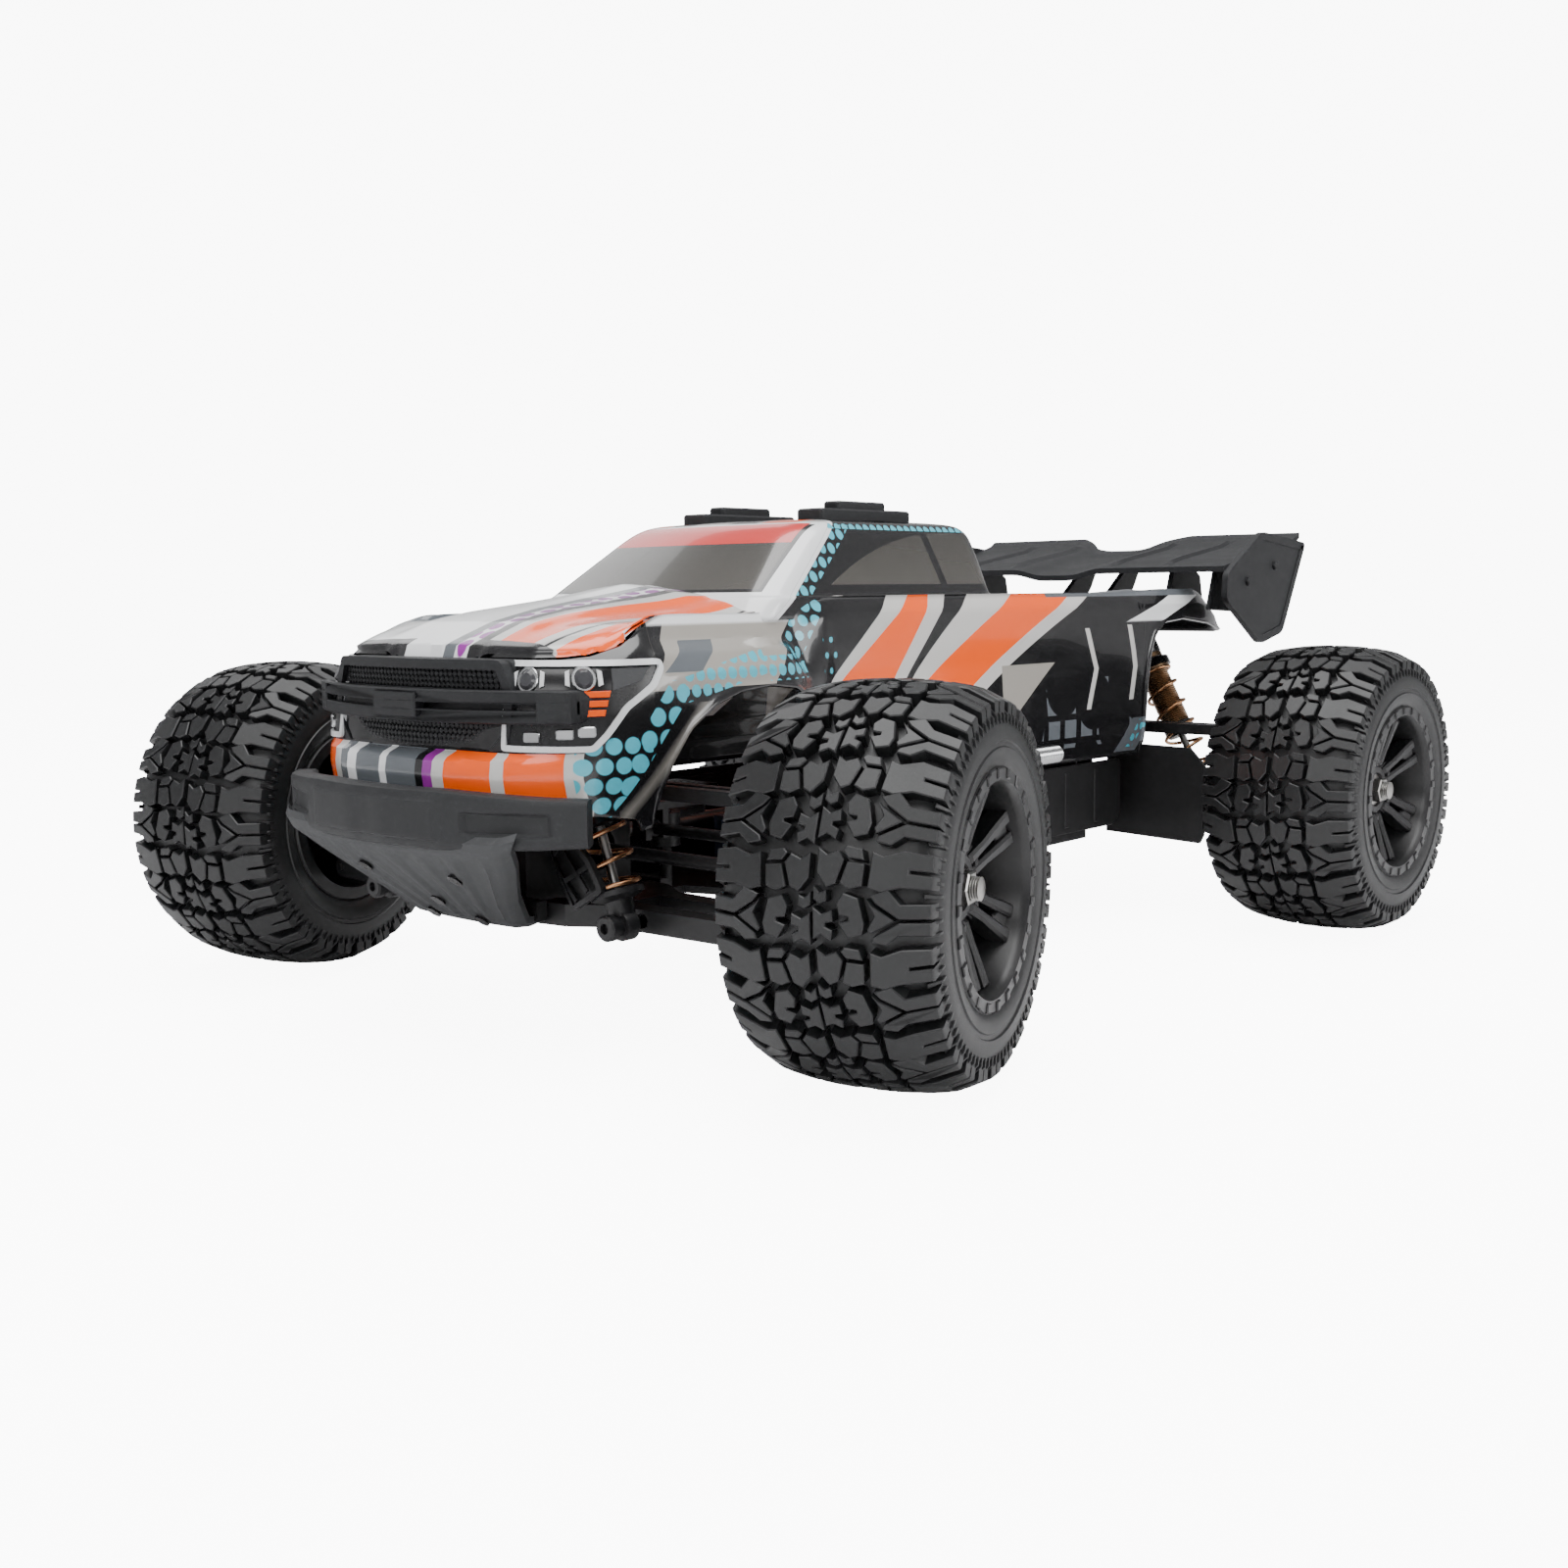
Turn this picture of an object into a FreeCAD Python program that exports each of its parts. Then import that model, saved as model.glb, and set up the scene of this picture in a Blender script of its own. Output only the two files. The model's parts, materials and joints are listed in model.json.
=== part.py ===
"""Radio-controlled monster truck, 1/10 scale, as a parametric FreeCAD document.

Frame: millimetres, +Z up from the ground, the truck's nose points to -Y and its left side is +X.
The rest pose has the front wheels steered to the left by the angle steer_rest.
Every node is a Part::Compound with its own Label and Placement; its solids are bound to the sheet "dims".
"""
import FreeCAD, Part
import Sketcher
import os
import re

DIMENSIONS = {
    # wheels
    "front_axle": -180, "rear_axle": 160, "axle_height": 66, "tyre_radius": 66, "tyre_width": 71,
    "tyre_bore": 36, "tyre_wall": 4.5, "shoulder_round": 9, "rim_radius": 35.8, "rim_inside": 31.5,
    "rim_width": 66, "disc_offset": 11.5, "disc_thick": 6, "hub_radius": 10, "stud_out": 24.4,
    "axle_radius": 4, "stud_radius": 3.9, "hex_length": 12.5, "hex_flats": 14, "nut_flats": 10,
    # steering axis and upright
    "kingpin_x": 128.75, "wheel_offset": 31.5, "steer_rest": 16, "knuckle_arm": 26, "link_height": 71,
    "housing_radius": 14.5, "housing_start": 11.5, "housing_length": 9.5, "cup_outside": 9.2,
    "cup_inside": 8, "cup_start": -4, "cup_floor": 9.2, "running": 0.05, "gap": 0.3,
    # arms
    "arm_inner": 26, "arm_outer": 118, "lower_pivot": 46, "upper_pivot": 90, "arm_thick": 8,
    "pin_radius": 1.5, "eye_radius": 4, "upper_eye": 3.5, "hinge_half": 28, "fork_half": 14,
    "upright_half": 10,
    # shocks: side offset from the axle, top and lower mounts
    "shock_side": 24, "front_top_x": 40, "front_top_z": 122, "front_low_x": 67, "front_low_z": 46,
    "rear_top_x": 46, "rear_top_z": 132, "rear_low_x": 90, "rear_low_z": 48, "shock_radius": 7,
    "shock_bore": 5.5, "rod_radius": 1.75, "cup_radius": 9.5, "front_body": 40, "rear_body": 48,
    "spring_radius": 9.2, "spring_wire": 1.6, "mount_hole": 2.7,
    # drive line
    "shaft_radius": 2.5, "ball_radius": 3.5, "ball_inner_x": 21, "diff_radius": 14, "diff_half": 11,
    "outdrive_end": 28, "centre_radius": 3, "spur_radius": 21.5, "pinion_radius": 7.5,
    "motor_offset": 30, "motor_radius": 18, "motor_length": 58,
    # chassis
    "chassis_bottom": 41, "chassis_thick": 3, "tub_half": 68, "tub_front": -120, "tub_rear": 104,
    "tub_wall": 2.5, "tub_top": 74, "box_half": 17, "box_top": 86, "spine_half": 20,
    # steering gear
    "crank_x": 22, "crank_y": -140, "crank_top": 75, "link_bottom": 78, "link_thick": 3,
    "tie_inner": 36.75, "servo_long": 40, "servo_wide": 20, "servo_top": 71,
    # shell
    "shell_half": 76, "roof_top": 188, "roof_half": 50, "belt_half": 64,
}

DOC = FreeCAD.newDocument("monster_truck")
X_AXIS = FreeCAD.Vector(1, 0, 0)
Y_AXIS = FreeCAD.Vector(0, 1, 0)
Z_AXIS = FreeCAD.Vector(0, 0, 1)
FRONT, REAR = -1, 1
NODES = []


def make_sheet():
    """Write the driving dimensions to the spreadsheet."""
    sheet = DOC.addObject("Spreadsheet::Sheet", "dims")
    for row, (alias, value) in enumerate(DIMENSIONS.items(), start=1):
        sheet.set(f"A{row}", alias)
        sheet.set(f"B{row}", str(value))
        sheet.setAlias(f"B{row}", alias)
    DOC.recompute()


def on_sheet(expression):
    """Turn the alias words in an expression into references to the sheet."""
    def refer(word):
        return f"dims.{word.group()}" if word.group() in DIMENSIONS else word.group()
    return re.sub(r"[a-z][a-z_]+", refer, str(expression))


def bind(obj, **sizes):
    """Bind properties of an object to expressions on the sheet."""
    for prop, expression in sizes.items():
        obj.setExpression(prop, on_sheet(expression))
    return obj


def place(obj, x=0, y=0, z=0, axis=None, angle=0):
    """Bind the object's position, and its turn about one axis."""
    if axis is not None:
        obj.Placement = FreeCAD.Placement(FreeCAD.Vector(), FreeCAD.Rotation(axis, 1))
        obj.setExpression(".Placement.Rotation.Angle", on_sheet(angle))
    for letter, value in zip("xyz", (x, y, z)):
        obj.setExpression(f".Placement.Base.{letter}", on_sheet(value))
    return obj


def box(name, x, y, z, turn=None):
    """Box between the limits (low, high) along each axis; turn is a rise about Z at its low corner."""
    obj = DOC.addObject("Part::Box", name)
    sizes = [f"({high}) - ({low})" for low, high in (x, y, z)]
    bind(obj, Length=sizes[0], Width=sizes[1], Height=sizes[2])
    if turn is None:
        return place(obj, x[0], y[0], z[0])
    return place(obj, x[0], y[0], z[0], Z_AXIS, turn)


def rod(name, radius, along, limits, first, second):
    """Cylinder along "x", "y" or "z" between limits; first and second are its other two coordinates."""
    obj = DOC.addObject("Part::Cylinder", name)
    bind(obj, Radius=radius, Height=f"({limits[1]}) - ({limits[0]})")
    if along == "x":
        return place(obj, limits[0], first, second, Y_AXIS, 90)
    if along == "y":
        return place(obj, first, limits[0], second, X_AXIS, -90)
    return place(obj, first, second, limits[0])


def ball(name, radius, x, y, z):
    """Sphere."""
    return place(bind(DOC.addObject("Part::Sphere", name), Radius=radius), x, y, z)


def hexagon(name, flats, limits, y, z):
    """Six-sided prism along X between limits, with a given width across flats."""
    obj = DOC.addObject("Part::Prism", name)
    obj.Polygon = 6
    bind(obj, Circumradius=f"({flats}) / 2 / cos(30)", Height=f"({limits[1]}) - ({limits[0]})")
    return place(obj, limits[0], y, z, Y_AXIS, 90)


def cut(base, *tools):
    """Base without each of the tools."""
    for tool in tools:
        result = DOC.addObject("Part::Cut", base.Name + "_cut")
        result.Base = base
        result.Tool = tool
        base = result
    return base


def fuse(*pieces):
    """One solid from overlapping pieces."""
    result = DOC.addObject("Part::MultiFuse", pieces[0].Name + "_joined")
    result.Shapes = list(pieces)
    return result


def rounded(base, edges, radius_alias):
    """Fillet on numbered edges, with the radius read from the sheet."""
    DOC.recompute()
    result = DOC.addObject("Part::Fillet", base.Name + "_rounded")
    result.Base = base
    radius = DOC.dims.get(radius_alias)
    result.Edges = [(edge, radius, radius) for edge in edges]
    return result


def plate(name, role, outline, start, thick):
    """Padded sketch on an origin plane, each corner of the outline bound to the sheet.

    The outline lists corners in the plane's own two directions, in order round it.
    """
    body = DOC.addObject("PartDesign::Body", name)
    plane = next(item for item in body.Origin.OriginFeatures if item.Role == role)
    sketch = body.newObject("Sketcher::SketchObject", name + "_outline")
    sketch.AttachmentSupport = [(plane, "")]
    sketch.MapMode = "FlatFace"
    sketch.setExpression(".AttachmentOffset.Base.z", on_sheet(start))
    corners = [[float(number(value)) for value in corner] for corner in outline]
    points = [FreeCAD.Vector(u, v, 0) for u, v in corners]
    for index, point in enumerate(points):
        sketch.addGeometry(Part.LineSegment(point, points[(index + 1) % len(points)]), False)
    constrain(sketch, outline, corners)
    pad = body.newObject("PartDesign::Pad", name + "_pad")
    pad.Profile = sketch
    bind(pad, Length=thick)
    return body


def constrain(sketch, outline, corners):
    """Close the outline and bind its corners."""
    count = len(corners)
    for index in range(count):
        sketch.addConstraint(Sketcher.Constraint("Coincident", index, 2, (index + 1) % count, 1))
    for index, corner in enumerate(outline):
        for kind, side in (("DistanceX", 0), ("DistanceY", 1)):
            row = sketch.addConstraint(Sketcher.Constraint(kind, -1, 1, index, 1, corners[index][side]))
            if not isinstance(corner[side], (int, float)):
                sketch.setExpression(f"Constraints[{row}]", on_sheet(corner[side]))


def number(expression):
    """Value of a number, or of an expression of the sheet's words."""
    if isinstance(expression, (int, float)):
        return expression
    probe = DOC.getObject("probe") or DOC.addObject("App::FeaturePython", "probe")
    if "value" not in probe.PropertiesList:
        probe.addProperty("App::PropertyFloat", "value")
    probe.setExpression("value", on_sheet(expression))
    DOC.recompute([probe])
    return probe.value


def node(label, solids, x=0, y=0, z=0, axis=None, angle=0):
    """Node of one or more solids, with its own label and placement."""
    result = DOC.addObject("Part::Compound", label)
    result.Links = list(solids)
    result.Label = label
    place(result, x, y, z, axis, angle)
    NODES.append(result)
    return result


def mirrored(solids):
    """Copies of solids on the other side of the plane x = 0."""
    copies = []
    for solid in solids:
        copy = DOC.addObject("Part::Mirroring", solid.Name + "_right")
        copy.Source = solid
        copy.Normal = X_AXIS
        copies.append(copy)
    return copies


def pair(label, solids, x=0, y=0, z=0, axis=None, angle=0, right_angle=None):
    """Left node, and its right twin mirrored in x; right_angle is the twin's own turn."""
    node(label + "_left", solids, x, y, z, axis, angle)
    twin_angle = angle if right_angle is None else right_angle
    node(label + "_right", mirrored(solids), f"-({x})", y, z, axis, twin_angle)


def wheel_span(half):
    """Limits along the axle, half either side of the wheel's middle plane."""
    return f"wheel_offset - ({half})", f"wheel_offset + ({half})"


def tyre(name):
    """Hollow tyre carcass with rounded shoulders; the tread is left plain."""
    tread = rod(name, "tyre_radius", "x", wheel_span("tyre_width / 2"), 0, "axle_height")
    carcass = rounded(tread, (1, 3), "shoulder_round")
    cavity = rod(name + "_cavity", "tyre_radius - tyre_wall", "x",
                 wheel_span("tyre_width / 2 - tyre_wall"), 0, "axle_height")
    bore = rod(name + "_bore", "tyre_bore", "x", wheel_span("tyre_width"), 0, "axle_height")
    return [cut(carcass, cavity, bore)]


def rim(name):
    """Rim with six windows; stub axle with its drive cup; hex; wheel nut."""
    barrel = rod(name, "rim_radius", "x", wheel_span("rim_width / 2"), 0, "axle_height")
    inside = rod(name + "_inside", "rim_inside", "x", wheel_span("rim_width"), 0, "axle_height")
    disc_back = "wheel_offset + disc_offset - disc_thick / 2"
    disc_front = f"{disc_back} + disc_thick"
    hub_back = "housing_start + housing_length + hex_length + 0.5"
    disc = rod(name + "_disc", "rim_inside + 1", "x", (disc_back, disc_front), 0, "axle_height")
    hub = rod(name + "_hub", "hub_radius", "x", (hub_back, disc_front), 0, "axle_height")
    windows = [rod(f"{name}_window", 6.5, "x", ("wheel_offset", "wheel_offset + 30"),
                   f"21 * cos({60 * step})", f"axle_height + 21 * sin({60 * step})") for step in range(6)]
    bore = rod(name + "_bore", "axle_radius", "x", (0, "wheel_offset * 2"), 0, "axle_height")
    casting = cut(fuse(cut(barrel, inside), disc, hub), bore, *windows)
    nut_front = f"{disc_front} + 5"
    axle = rod(name + "_axle", "axle_radius", "x", ("cup_floor", nut_front), 0, "axle_height")
    stud = rod(name + "_stud", "stud_radius", "x", (nut_front, "wheel_offset + stud_out"), 0, "axle_height")
    cup = rod(name + "_cup", "cup_outside", "x", ("cup_start", "cup_floor + 1.5"), 0, "axle_height")
    socket = rod(name + "_socket", "cup_inside", "x", ("cup_start - 1", "cup_floor"), 0, "axle_height")
    hex_back = "housing_start + housing_length + 0.5"
    drive_hex = hexagon(name + "_hex", "hex_flats", (hex_back, hub_back), 0, "axle_height")
    nut = hexagon(name + "_nut", "nut_flats", (disc_front, nut_front), 0, "axle_height")
    return [casting, cut(fuse(axle, stud, cup), socket), cut(drive_hex, bore), cut(nut, bore)]


def bearing_housing(name, start):
    """Round housing for the stub axle, from start out to the wheel hex."""
    end = "housing_start + housing_length"
    housing = rod(name, "housing_radius", "x", (start, end), 0, "axle_height")
    bore = rod(name + "_bore", "axle_radius + running", "x", ("-wheel_offset", "wheel_offset"), 0,
               "axle_height")
    return housing, bore


def knuckle(name):
    """Steering knuckle: housing, two kingpin bars round the cup, steering arm and its ball stud."""
    housing, bore = bearing_housing(name, "housing_start")
    top = "axle_height + cup_outside + 0.6"
    bottom = "axle_height - cup_outside - 0.6"
    upper = box(name + "_upper", (-5, "housing_start + 2"), (-6, 6), (top, f"{top} + 3.4"))
    lower = box(name + "_lower", (-5, "housing_start + 2"), (-6, 6), (f"{bottom} - 3.4", bottom))
    pin_hole = rod(name + "_pin_hole", "pin_radius + running", "z", (45, 87), 0, 0)
    bridge = box(name + "_bridge", (-3, "housing_start + 2"), (10.5, 14.5), (63.5, 67.5))
    arm = box(name + "_arm", (-3, 3), (10.5, "knuckle_arm"), (63.5, 67.5))
    end = rod(name + "_end", 3, "z", (63.5, 67.5), 0, "knuckle_arm")
    stud = rod(name + "_stud", "pin_radius", "z", (66, 74), 0, "knuckle_arm")
    solid = cut(fuse(housing, upper, lower, bridge, arm, end, stud), bore, pin_hole)
    return [solid]


def upright_plate(name):
    """Plate of a hub carrier between its lower and upper arm pivots, in truck x."""
    wide = "upright_half"
    back = "arm_outer - 6"
    front = "arm_outer + 1"
    base = box(name, (back, front), (f"-{wide}", wide), (42, 86))
    eye = rod(name + "_eye", "eye_radius", "y", (f"-{wide}", wide), "arm_outer", "lower_pivot")
    ears = [rod(name + "_ear", "upper_eye", "y", limits, "arm_outer", "upper_pivot")
            for limits in ((-8, -4), (4, 8))]
    necks = [box(name + "_neck", ("arm_outer - 3.5", "arm_outer + 3.5"), limits, (84, "upper_pivot"))
             for limits in ((-8, -4), (4, 8))]
    holes = [rod(name + "_pin", "pin_radius + running", "y", (-20, 20), "arm_outer", height)
             for height in ("lower_pivot", "upper_pivot")]
    pass_hole = rod(name + "_pass", 6.5, "x", ("arm_outer - 10", "arm_outer + 2"), 0, "axle_height")
    return [base, eye, *ears, *necks], [*holes, pass_hole]


def front_carrier(name):
    """Front hub carrier: plate, two lugs and the two kingpin screws."""
    added, removed = upright_plate(name)
    solids = []
    lugs = []
    for label, low, high, pin_low, pin_high in (("top", 79.6, 84.6, 75.9, 87), ("low", 47.4, 52.4, 45,
                                                                                56.1)):
        reach = ("arm_outer", "kingpin_x + 5")
        lugs.append(box(f"{name}_{label}", reach, (-6, 6), (low, high)))
        removed.append(rod(f"{name}_{label}_hole", "pin_radius", "z", (low, high), "kingpin_x", 0))
        solids.append(rod(f"{name}_{label}_pin", "pin_radius", "z", (pin_low, pin_high), "kingpin_x", 0))
    return [cut(fuse(*added, *lugs), *removed), *solids]


def rear_carrier(name):
    """Rear hub carrier: plate with a housing that surrounds the drive cup."""
    added, removed = upright_plate(name)
    housing = rod(name + "_housing", "housing_radius", "x", ("arm_outer",
                  "kingpin_x + housing_start + housing_length"), 0, "axle_height")
    chamber = rod(name + "_chamber", "cup_outside + 0.6", "x",
                  ("arm_outer + 1", "kingpin_x + cup_floor + 2"), 0, "axle_height")
    bore = rod(name + "_bore", "axle_radius + running", "x", ("kingpin_x", "kingpin_x + 40"), 0,
               "axle_height")
    return [cut(fuse(*added, housing), *removed, chamber, bore)]


def lower_arm(name, side, low_x):
    """Lower arm with its hinge pins; side is the side of the axle that the shock stands on."""
    half = "hinge_half"
    fork = "fork_half"
    inner = "upright_half + gap"
    quarter = [("arm_inner", half), (38, "hinge_half - 2"), (52, "fork_half + 3"), ("arm_outer", fork),
               ("arm_outer", inner), ("arm_outer - 12", inner)]
    far = [(x, f"-({y})") for x, y in reversed(quarter)]
    cut_in = [("arm_inner", -18), ("arm_inner + 12", -14), ("arm_inner + 12", 14), ("arm_inner", 18)]
    blank = plate(name, "XY_Plane", quarter + far + cut_in, "lower_pivot - arm_thick / 2", "arm_thick")
    inner_eyes = [rod(name + "_eye", "eye_radius", "y", limits, "arm_inner", "lower_pivot")
                  for limits in ((18, half), (f"-{half}", -18))]
    outer_eyes = [rod(name + "_end", "eye_radius", "y", limits, "arm_outer", "lower_pivot")
                  for limits in ((inner, fork), (f"-{fork}", f"-({inner})"))]
    pins = [rod(name + "_pin", "pin_radius", "y", limits, x, "lower_pivot")
            for limits, x in (((-33, 33), "arm_inner"), ((-15, 15), "arm_outer"))]
    window = box(name + "_window", (52, 98), (-7, 7), (30, 60))
    low_z = "front_low_z" if side == FRONT else "rear_low_z"
    reach = (-24, -8) if side == FRONT else (8, 24)
    mount = rod(name + "_mount", "mount_hole", "y", reach, low_x, low_z)
    solid = cut(fuse(blank, *inner_eyes, *outer_eyes), window, mount, *pins)
    return [solid, *pins]


def guard(name):
    """Mud guard screwed across the front edge of a rear lower arm."""
    outline = [(53, 38), (104, 36), (106, 40), (106, 74), (98, 82), (57, 83), (53, 79)]
    sheet = plate(name, "XZ_Plane", outline, 17.2, 2.3)
    return [sheet]


def upper_arm(name):
    """Upper arm, narrow at its two eyes, with its pins."""
    core = box(name, ("arm_inner + 12", "arm_outer - 12"), (-6, 6), (87.5, 92.5))
    beam = box(name + "_beam", ("arm_inner", "arm_outer"), (-3.7, 3.7), (88, 92))
    slot = box(name + "_slot", ("arm_inner + 20", "arm_outer - 20"), (-2, 2), (80, 100))
    eyes = [rod(name + "_eye", "upper_eye", "y", (-3.7, 3.7), x, "upper_pivot") for x in ("arm_inner",
                                                                                          "arm_outer")]
    pins = [rod(name + "_pin", "pin_radius", "y", (-8.5, 8.5), x, "upper_pivot") for x in ("arm_inner",
                                                                                           "arm_outer")]
    return [cut(fuse(core, beam, *eyes), slot, *pins), *pins]


def dogbone(name):
    """Drive shaft with a ball at each end."""
    shaft = rod(name, "shaft_radius", "x", ("ball_inner_x", "kingpin_x"), 0, "axle_height")
    balls = [ball(name + "_ball", "ball_radius", x, 0, "axle_height") for x in ("ball_inner_x", "kingpin_x")]
    return [fuse(shaft, *balls)]


def shock_body(name, long):
    """Shock body hanging down from its top eye at the origin: cap, tube, preload collar."""
    end = f"-({long}) - 6"
    eye = rod(name, 4.5, "y", (-3, 3), 0, 0)
    tube = rod(name + "_tube", "shock_radius", "z", (end, -3.5), 0, 0)
    collar = rod(name + "_collar", 10, "z", (-17, -13), 0, 0)
    bore = rod(name + "_bore", "shock_bore", "z", (f"{end} + 3", -10), 0, 0)
    rod_hole = rod(name + "_rod_hole", "rod_radius + running", "z", (f"{end} - 1", -10), 0, 0)
    hinge = rod(name + "_hinge", "pin_radius + running", "y", (-5, 5), 0, 0)
    return [cut(fuse(eye, tube, collar), bore, rod_hole, hinge)]


def shock_shaft(name, long, length, side):
    """Shaft with piston, spring cup, lower eye and its screw; the front one carries a shield."""
    top = f"-({long}) + 14"
    stem = rod(name, "rod_radius", "z", (f"-({length})", top), 0, 0)
    piston = rod(name + "_piston", "shock_bore - running", "z", (f"{top} - 4", top), 0, 0)
    cup = rod(name + "_cup", "cup_radius", "z", (f"-({length}) + 9.5", f"-({length}) + 12.5"), 0, 0)
    neck = rod(name + "_neck", 3.5, "z", (f"-({length})", f"-({length}) + 10"), 0, 0)
    eye = rod(name + "_eye", 4.5, "y", (-2.7, 2.7), 0, f"-({length})")
    reach, head = ((-7, 14), (-10, -7)) if side == FRONT else ((-14, 7), (7, 10))
    screw = rod(name + "_screw", "pin_radius", "y", reach, 0, f"-({length})")
    screw_head = rod(name + "_head", 3.5, "y", head, 0, f"-({length})")
    solids = [cut(fuse(stem, piston, cup, neck, eye), screw), fuse(screw, screw_head)]
    if side == FRONT:
        solids.append(shield(name + "_shield", length))
    return solids


def shield(name, length):
    """Stone shield in front of the spring, on the inboard side of the front shock."""
    low = f"-({length}) + 9.5"
    outline = [(-9.5, low), (4, f"-({length}) + 13"), (-9, f"-({length}) + 42"), (-17, f"-({length}) + 42")]
    return plate(name, "XZ_Plane", outline, 10.4, 1.6)


def spring(name, length):
    """Outer shape of the coil spring, between the collar and the lower cup."""
    limits = (f"-({length}) + 12.5", -17)
    outside = rod(name, "spring_radius", "z", limits, 0, 0)
    inside = rod(name + "_inside", "spring_radius - spring_wire", "z", limits, 0, 0)
    return [cut(outside, inside)]


def gearbox(name):
    """Gearbox casing, hollow round the differential, with the ears of the upper arms."""
    case = box(name, ("-box_half", "box_half"), (-26, 26), ("chassis_bottom + chassis_thick", "box_top"))
    room = box(name + "_room", ("3 - box_half", "box_half - 3"), (-23.5, 23.5), (47, 83))
    bridge = box(name + "_bridge", (-21.5, 21.5), (-8, 8), (85, 93))
    ears = []
    for side in (-1, 1):
        for limits in ((-8, -4), (4, 8)):
            ears.append(rod(name + "_ear", "upper_eye", "y", limits, f"{side} * arm_inner", "upper_pivot"))
            spread = (20, "arm_inner") if side == 1 else ("-arm_inner", -20)
            ears.append(box(name + "_neck", spread, limits, (86.5, 93)))
    pins = [rod(name + "_pin", "pin_radius + running", "y", (-10, 10), f"{side} * arm_inner", "upper_pivot")
            for side in (-1, 1)]
    outdrives = rod(name + "_outdrives", "cup_outside + running", "x", (-20, 20), 0, "axle_height")
    input_hole = rod(name + "_input", "centre_radius + running", "y", (-30, 30), 0, "axle_height")
    return [cut(fuse(case, bridge, *ears), room, *pins, outdrives, input_hole)]


def differential(name):
    """Differential with its two outdrive cups."""
    drum = rod(name, "diff_radius", "x", ("-diff_half", "diff_half"), 0, "axle_height")
    cups = rod(name + "_cups", "cup_outside", "x", ("-outdrive_end", "outdrive_end"), 0, "axle_height")
    sockets = [rod(name + "_socket", "cup_inside", "x", limits, 0, "axle_height")
               for limits in (("diff_half + 0.8", "outdrive_end + 1"), ("-outdrive_end - 1",
                                                                        "-diff_half - 0.8"))]
    return [cut(fuse(drum, cups), *sockets)]


def tower(name, side, top_x, top_z, axle):
    """Shock tower plate with its two shock screws."""
    corner = f"{top_x} + 6"
    crest = f"{top_z} + 6"
    half = [(15, "box_top"), (20, "box_top + 12"), (corner, f"{top_z} - 7"), (corner, crest), (26, crest),
            (20, f"{crest} - 8")]
    outline = half + [(f"-({x})", z) for x, z in reversed(half)]
    low, high = (-15, -11) if side == FRONT else (11, 15)
    blank = plate(name, "XZ_Plane", outline, f"-({axle}) - ({high})", high - low)
    reach = (f"{axle} - 29", f"{axle} - 11") if side == FRONT else (f"{axle} + 11", f"{axle} + 29")
    pins = [rod(name + "_screw", "pin_radius", "y", reach, f"{turn} * ({top_x})", top_z) for turn in (-1, 1)]
    return [cut(blank, *pins), *pins]


def wing_mount():
    """Two struts from the rear tower to the wing."""
    outline = [("rear_axle + 15", 108), ("rear_axle + 24", 108), (232, 160), (240, 172.6), (222, 168.2),
               ("rear_axle + 15", 134)]
    return [plate("strut", "YZ_Plane", outline, start, 3) for start in (-15, 12)]


def chassis():
    """Chassis plate with side walls, arm hinge blocks, steering post and battery strap bracket."""
    half = [("spine_half", "front_axle - 26"), ("spine_half", "tub_front - 8"), ("tub_half",
                                                                                 "tub_front + 8"),
            ("tub_half", "tub_rear - 8"), ("spine_half + 30", "tub_rear"), ("spine_half", "tub_rear + 24"),
            ("spine_half", "rear_axle + 34")]
    outline = half + [(f"-({x})", y) for x, y in reversed(half)]
    floor = plate("floor", "XY_Plane", outline, "chassis_bottom", "chassis_thick")
    floor_top = "chassis_bottom + chassis_thick"
    walls = [box("side_wall", limits, ("tub_front + 8", "tub_rear - 8"), (floor_top, "tub_top"))
             for limits in (("tub_half - tub_wall", "tub_half"), ("-tub_half", "tub_wall - tub_half"))]
    blocks = []
    for axle in ("front_axle", "rear_axle"):
        for limits in (("28.3", "33"), ("-33", "-28.3")):
            span = tuple(f"{axle} + ({limit})" for limit in limits)
            across = ("-arm_inner - 5", "arm_inner + 5")
            blocks.append(box("hinge_block", across, span, (floor_top, 51)))
    holes = [rod("hinge_hole", "pin_radius + running", "y", ("front_axle - 40", "rear_axle + 40"), x,
                 "lower_pivot")
             for x in ("arm_inner", "-arm_inner")]
    room = box("shaft_room", (-8, 8), ("front_axle - 40", "rear_axle + 40"), (49, 60))
    blocks = [cut(block, room, *holes) for block in blocks]
    post = rod("post", 2.5, "z", (floor_top, 76), "crank_x", "crank_y")
    latches = []
    for side in (-1, 1):
        across = (66, 68) if side == 1 else (-68, -66)
        latches.append(box("latch_bracket", across, (48, 58), ("tub_top", 88)))
        latches.append(rod("latch_knob", 3.8, "y", (42, 64), f"{side} * 71.9", 84))
    return [floor, *blocks, *walls, post, *latches]


def bumper():
    """Front bumper: curved bar, and the skid plate that runs back under the nose."""
    front = [(83, -236), (72, -246), (42, -257), (14, -262)]
    back = [(9, -253), (38, -248.6), (66, -238.6), (78, -229)]
    outline = front + [(-x, y) for x, y in reversed(front)]
    outline += [(-x, y) for x, y in reversed(back)] + back
    bar = plate("bumper_bar", "XY_Plane", outline, 76, 19)
    side = [(-257, 76), (-253, 76), (-219, 44.5), (-213, 44.5), (-213, 41), (-219, 41), (-257, 72)]
    skid = plate("skid", "YZ_Plane", side, -28, 56)
    return [bar, skid]


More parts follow.
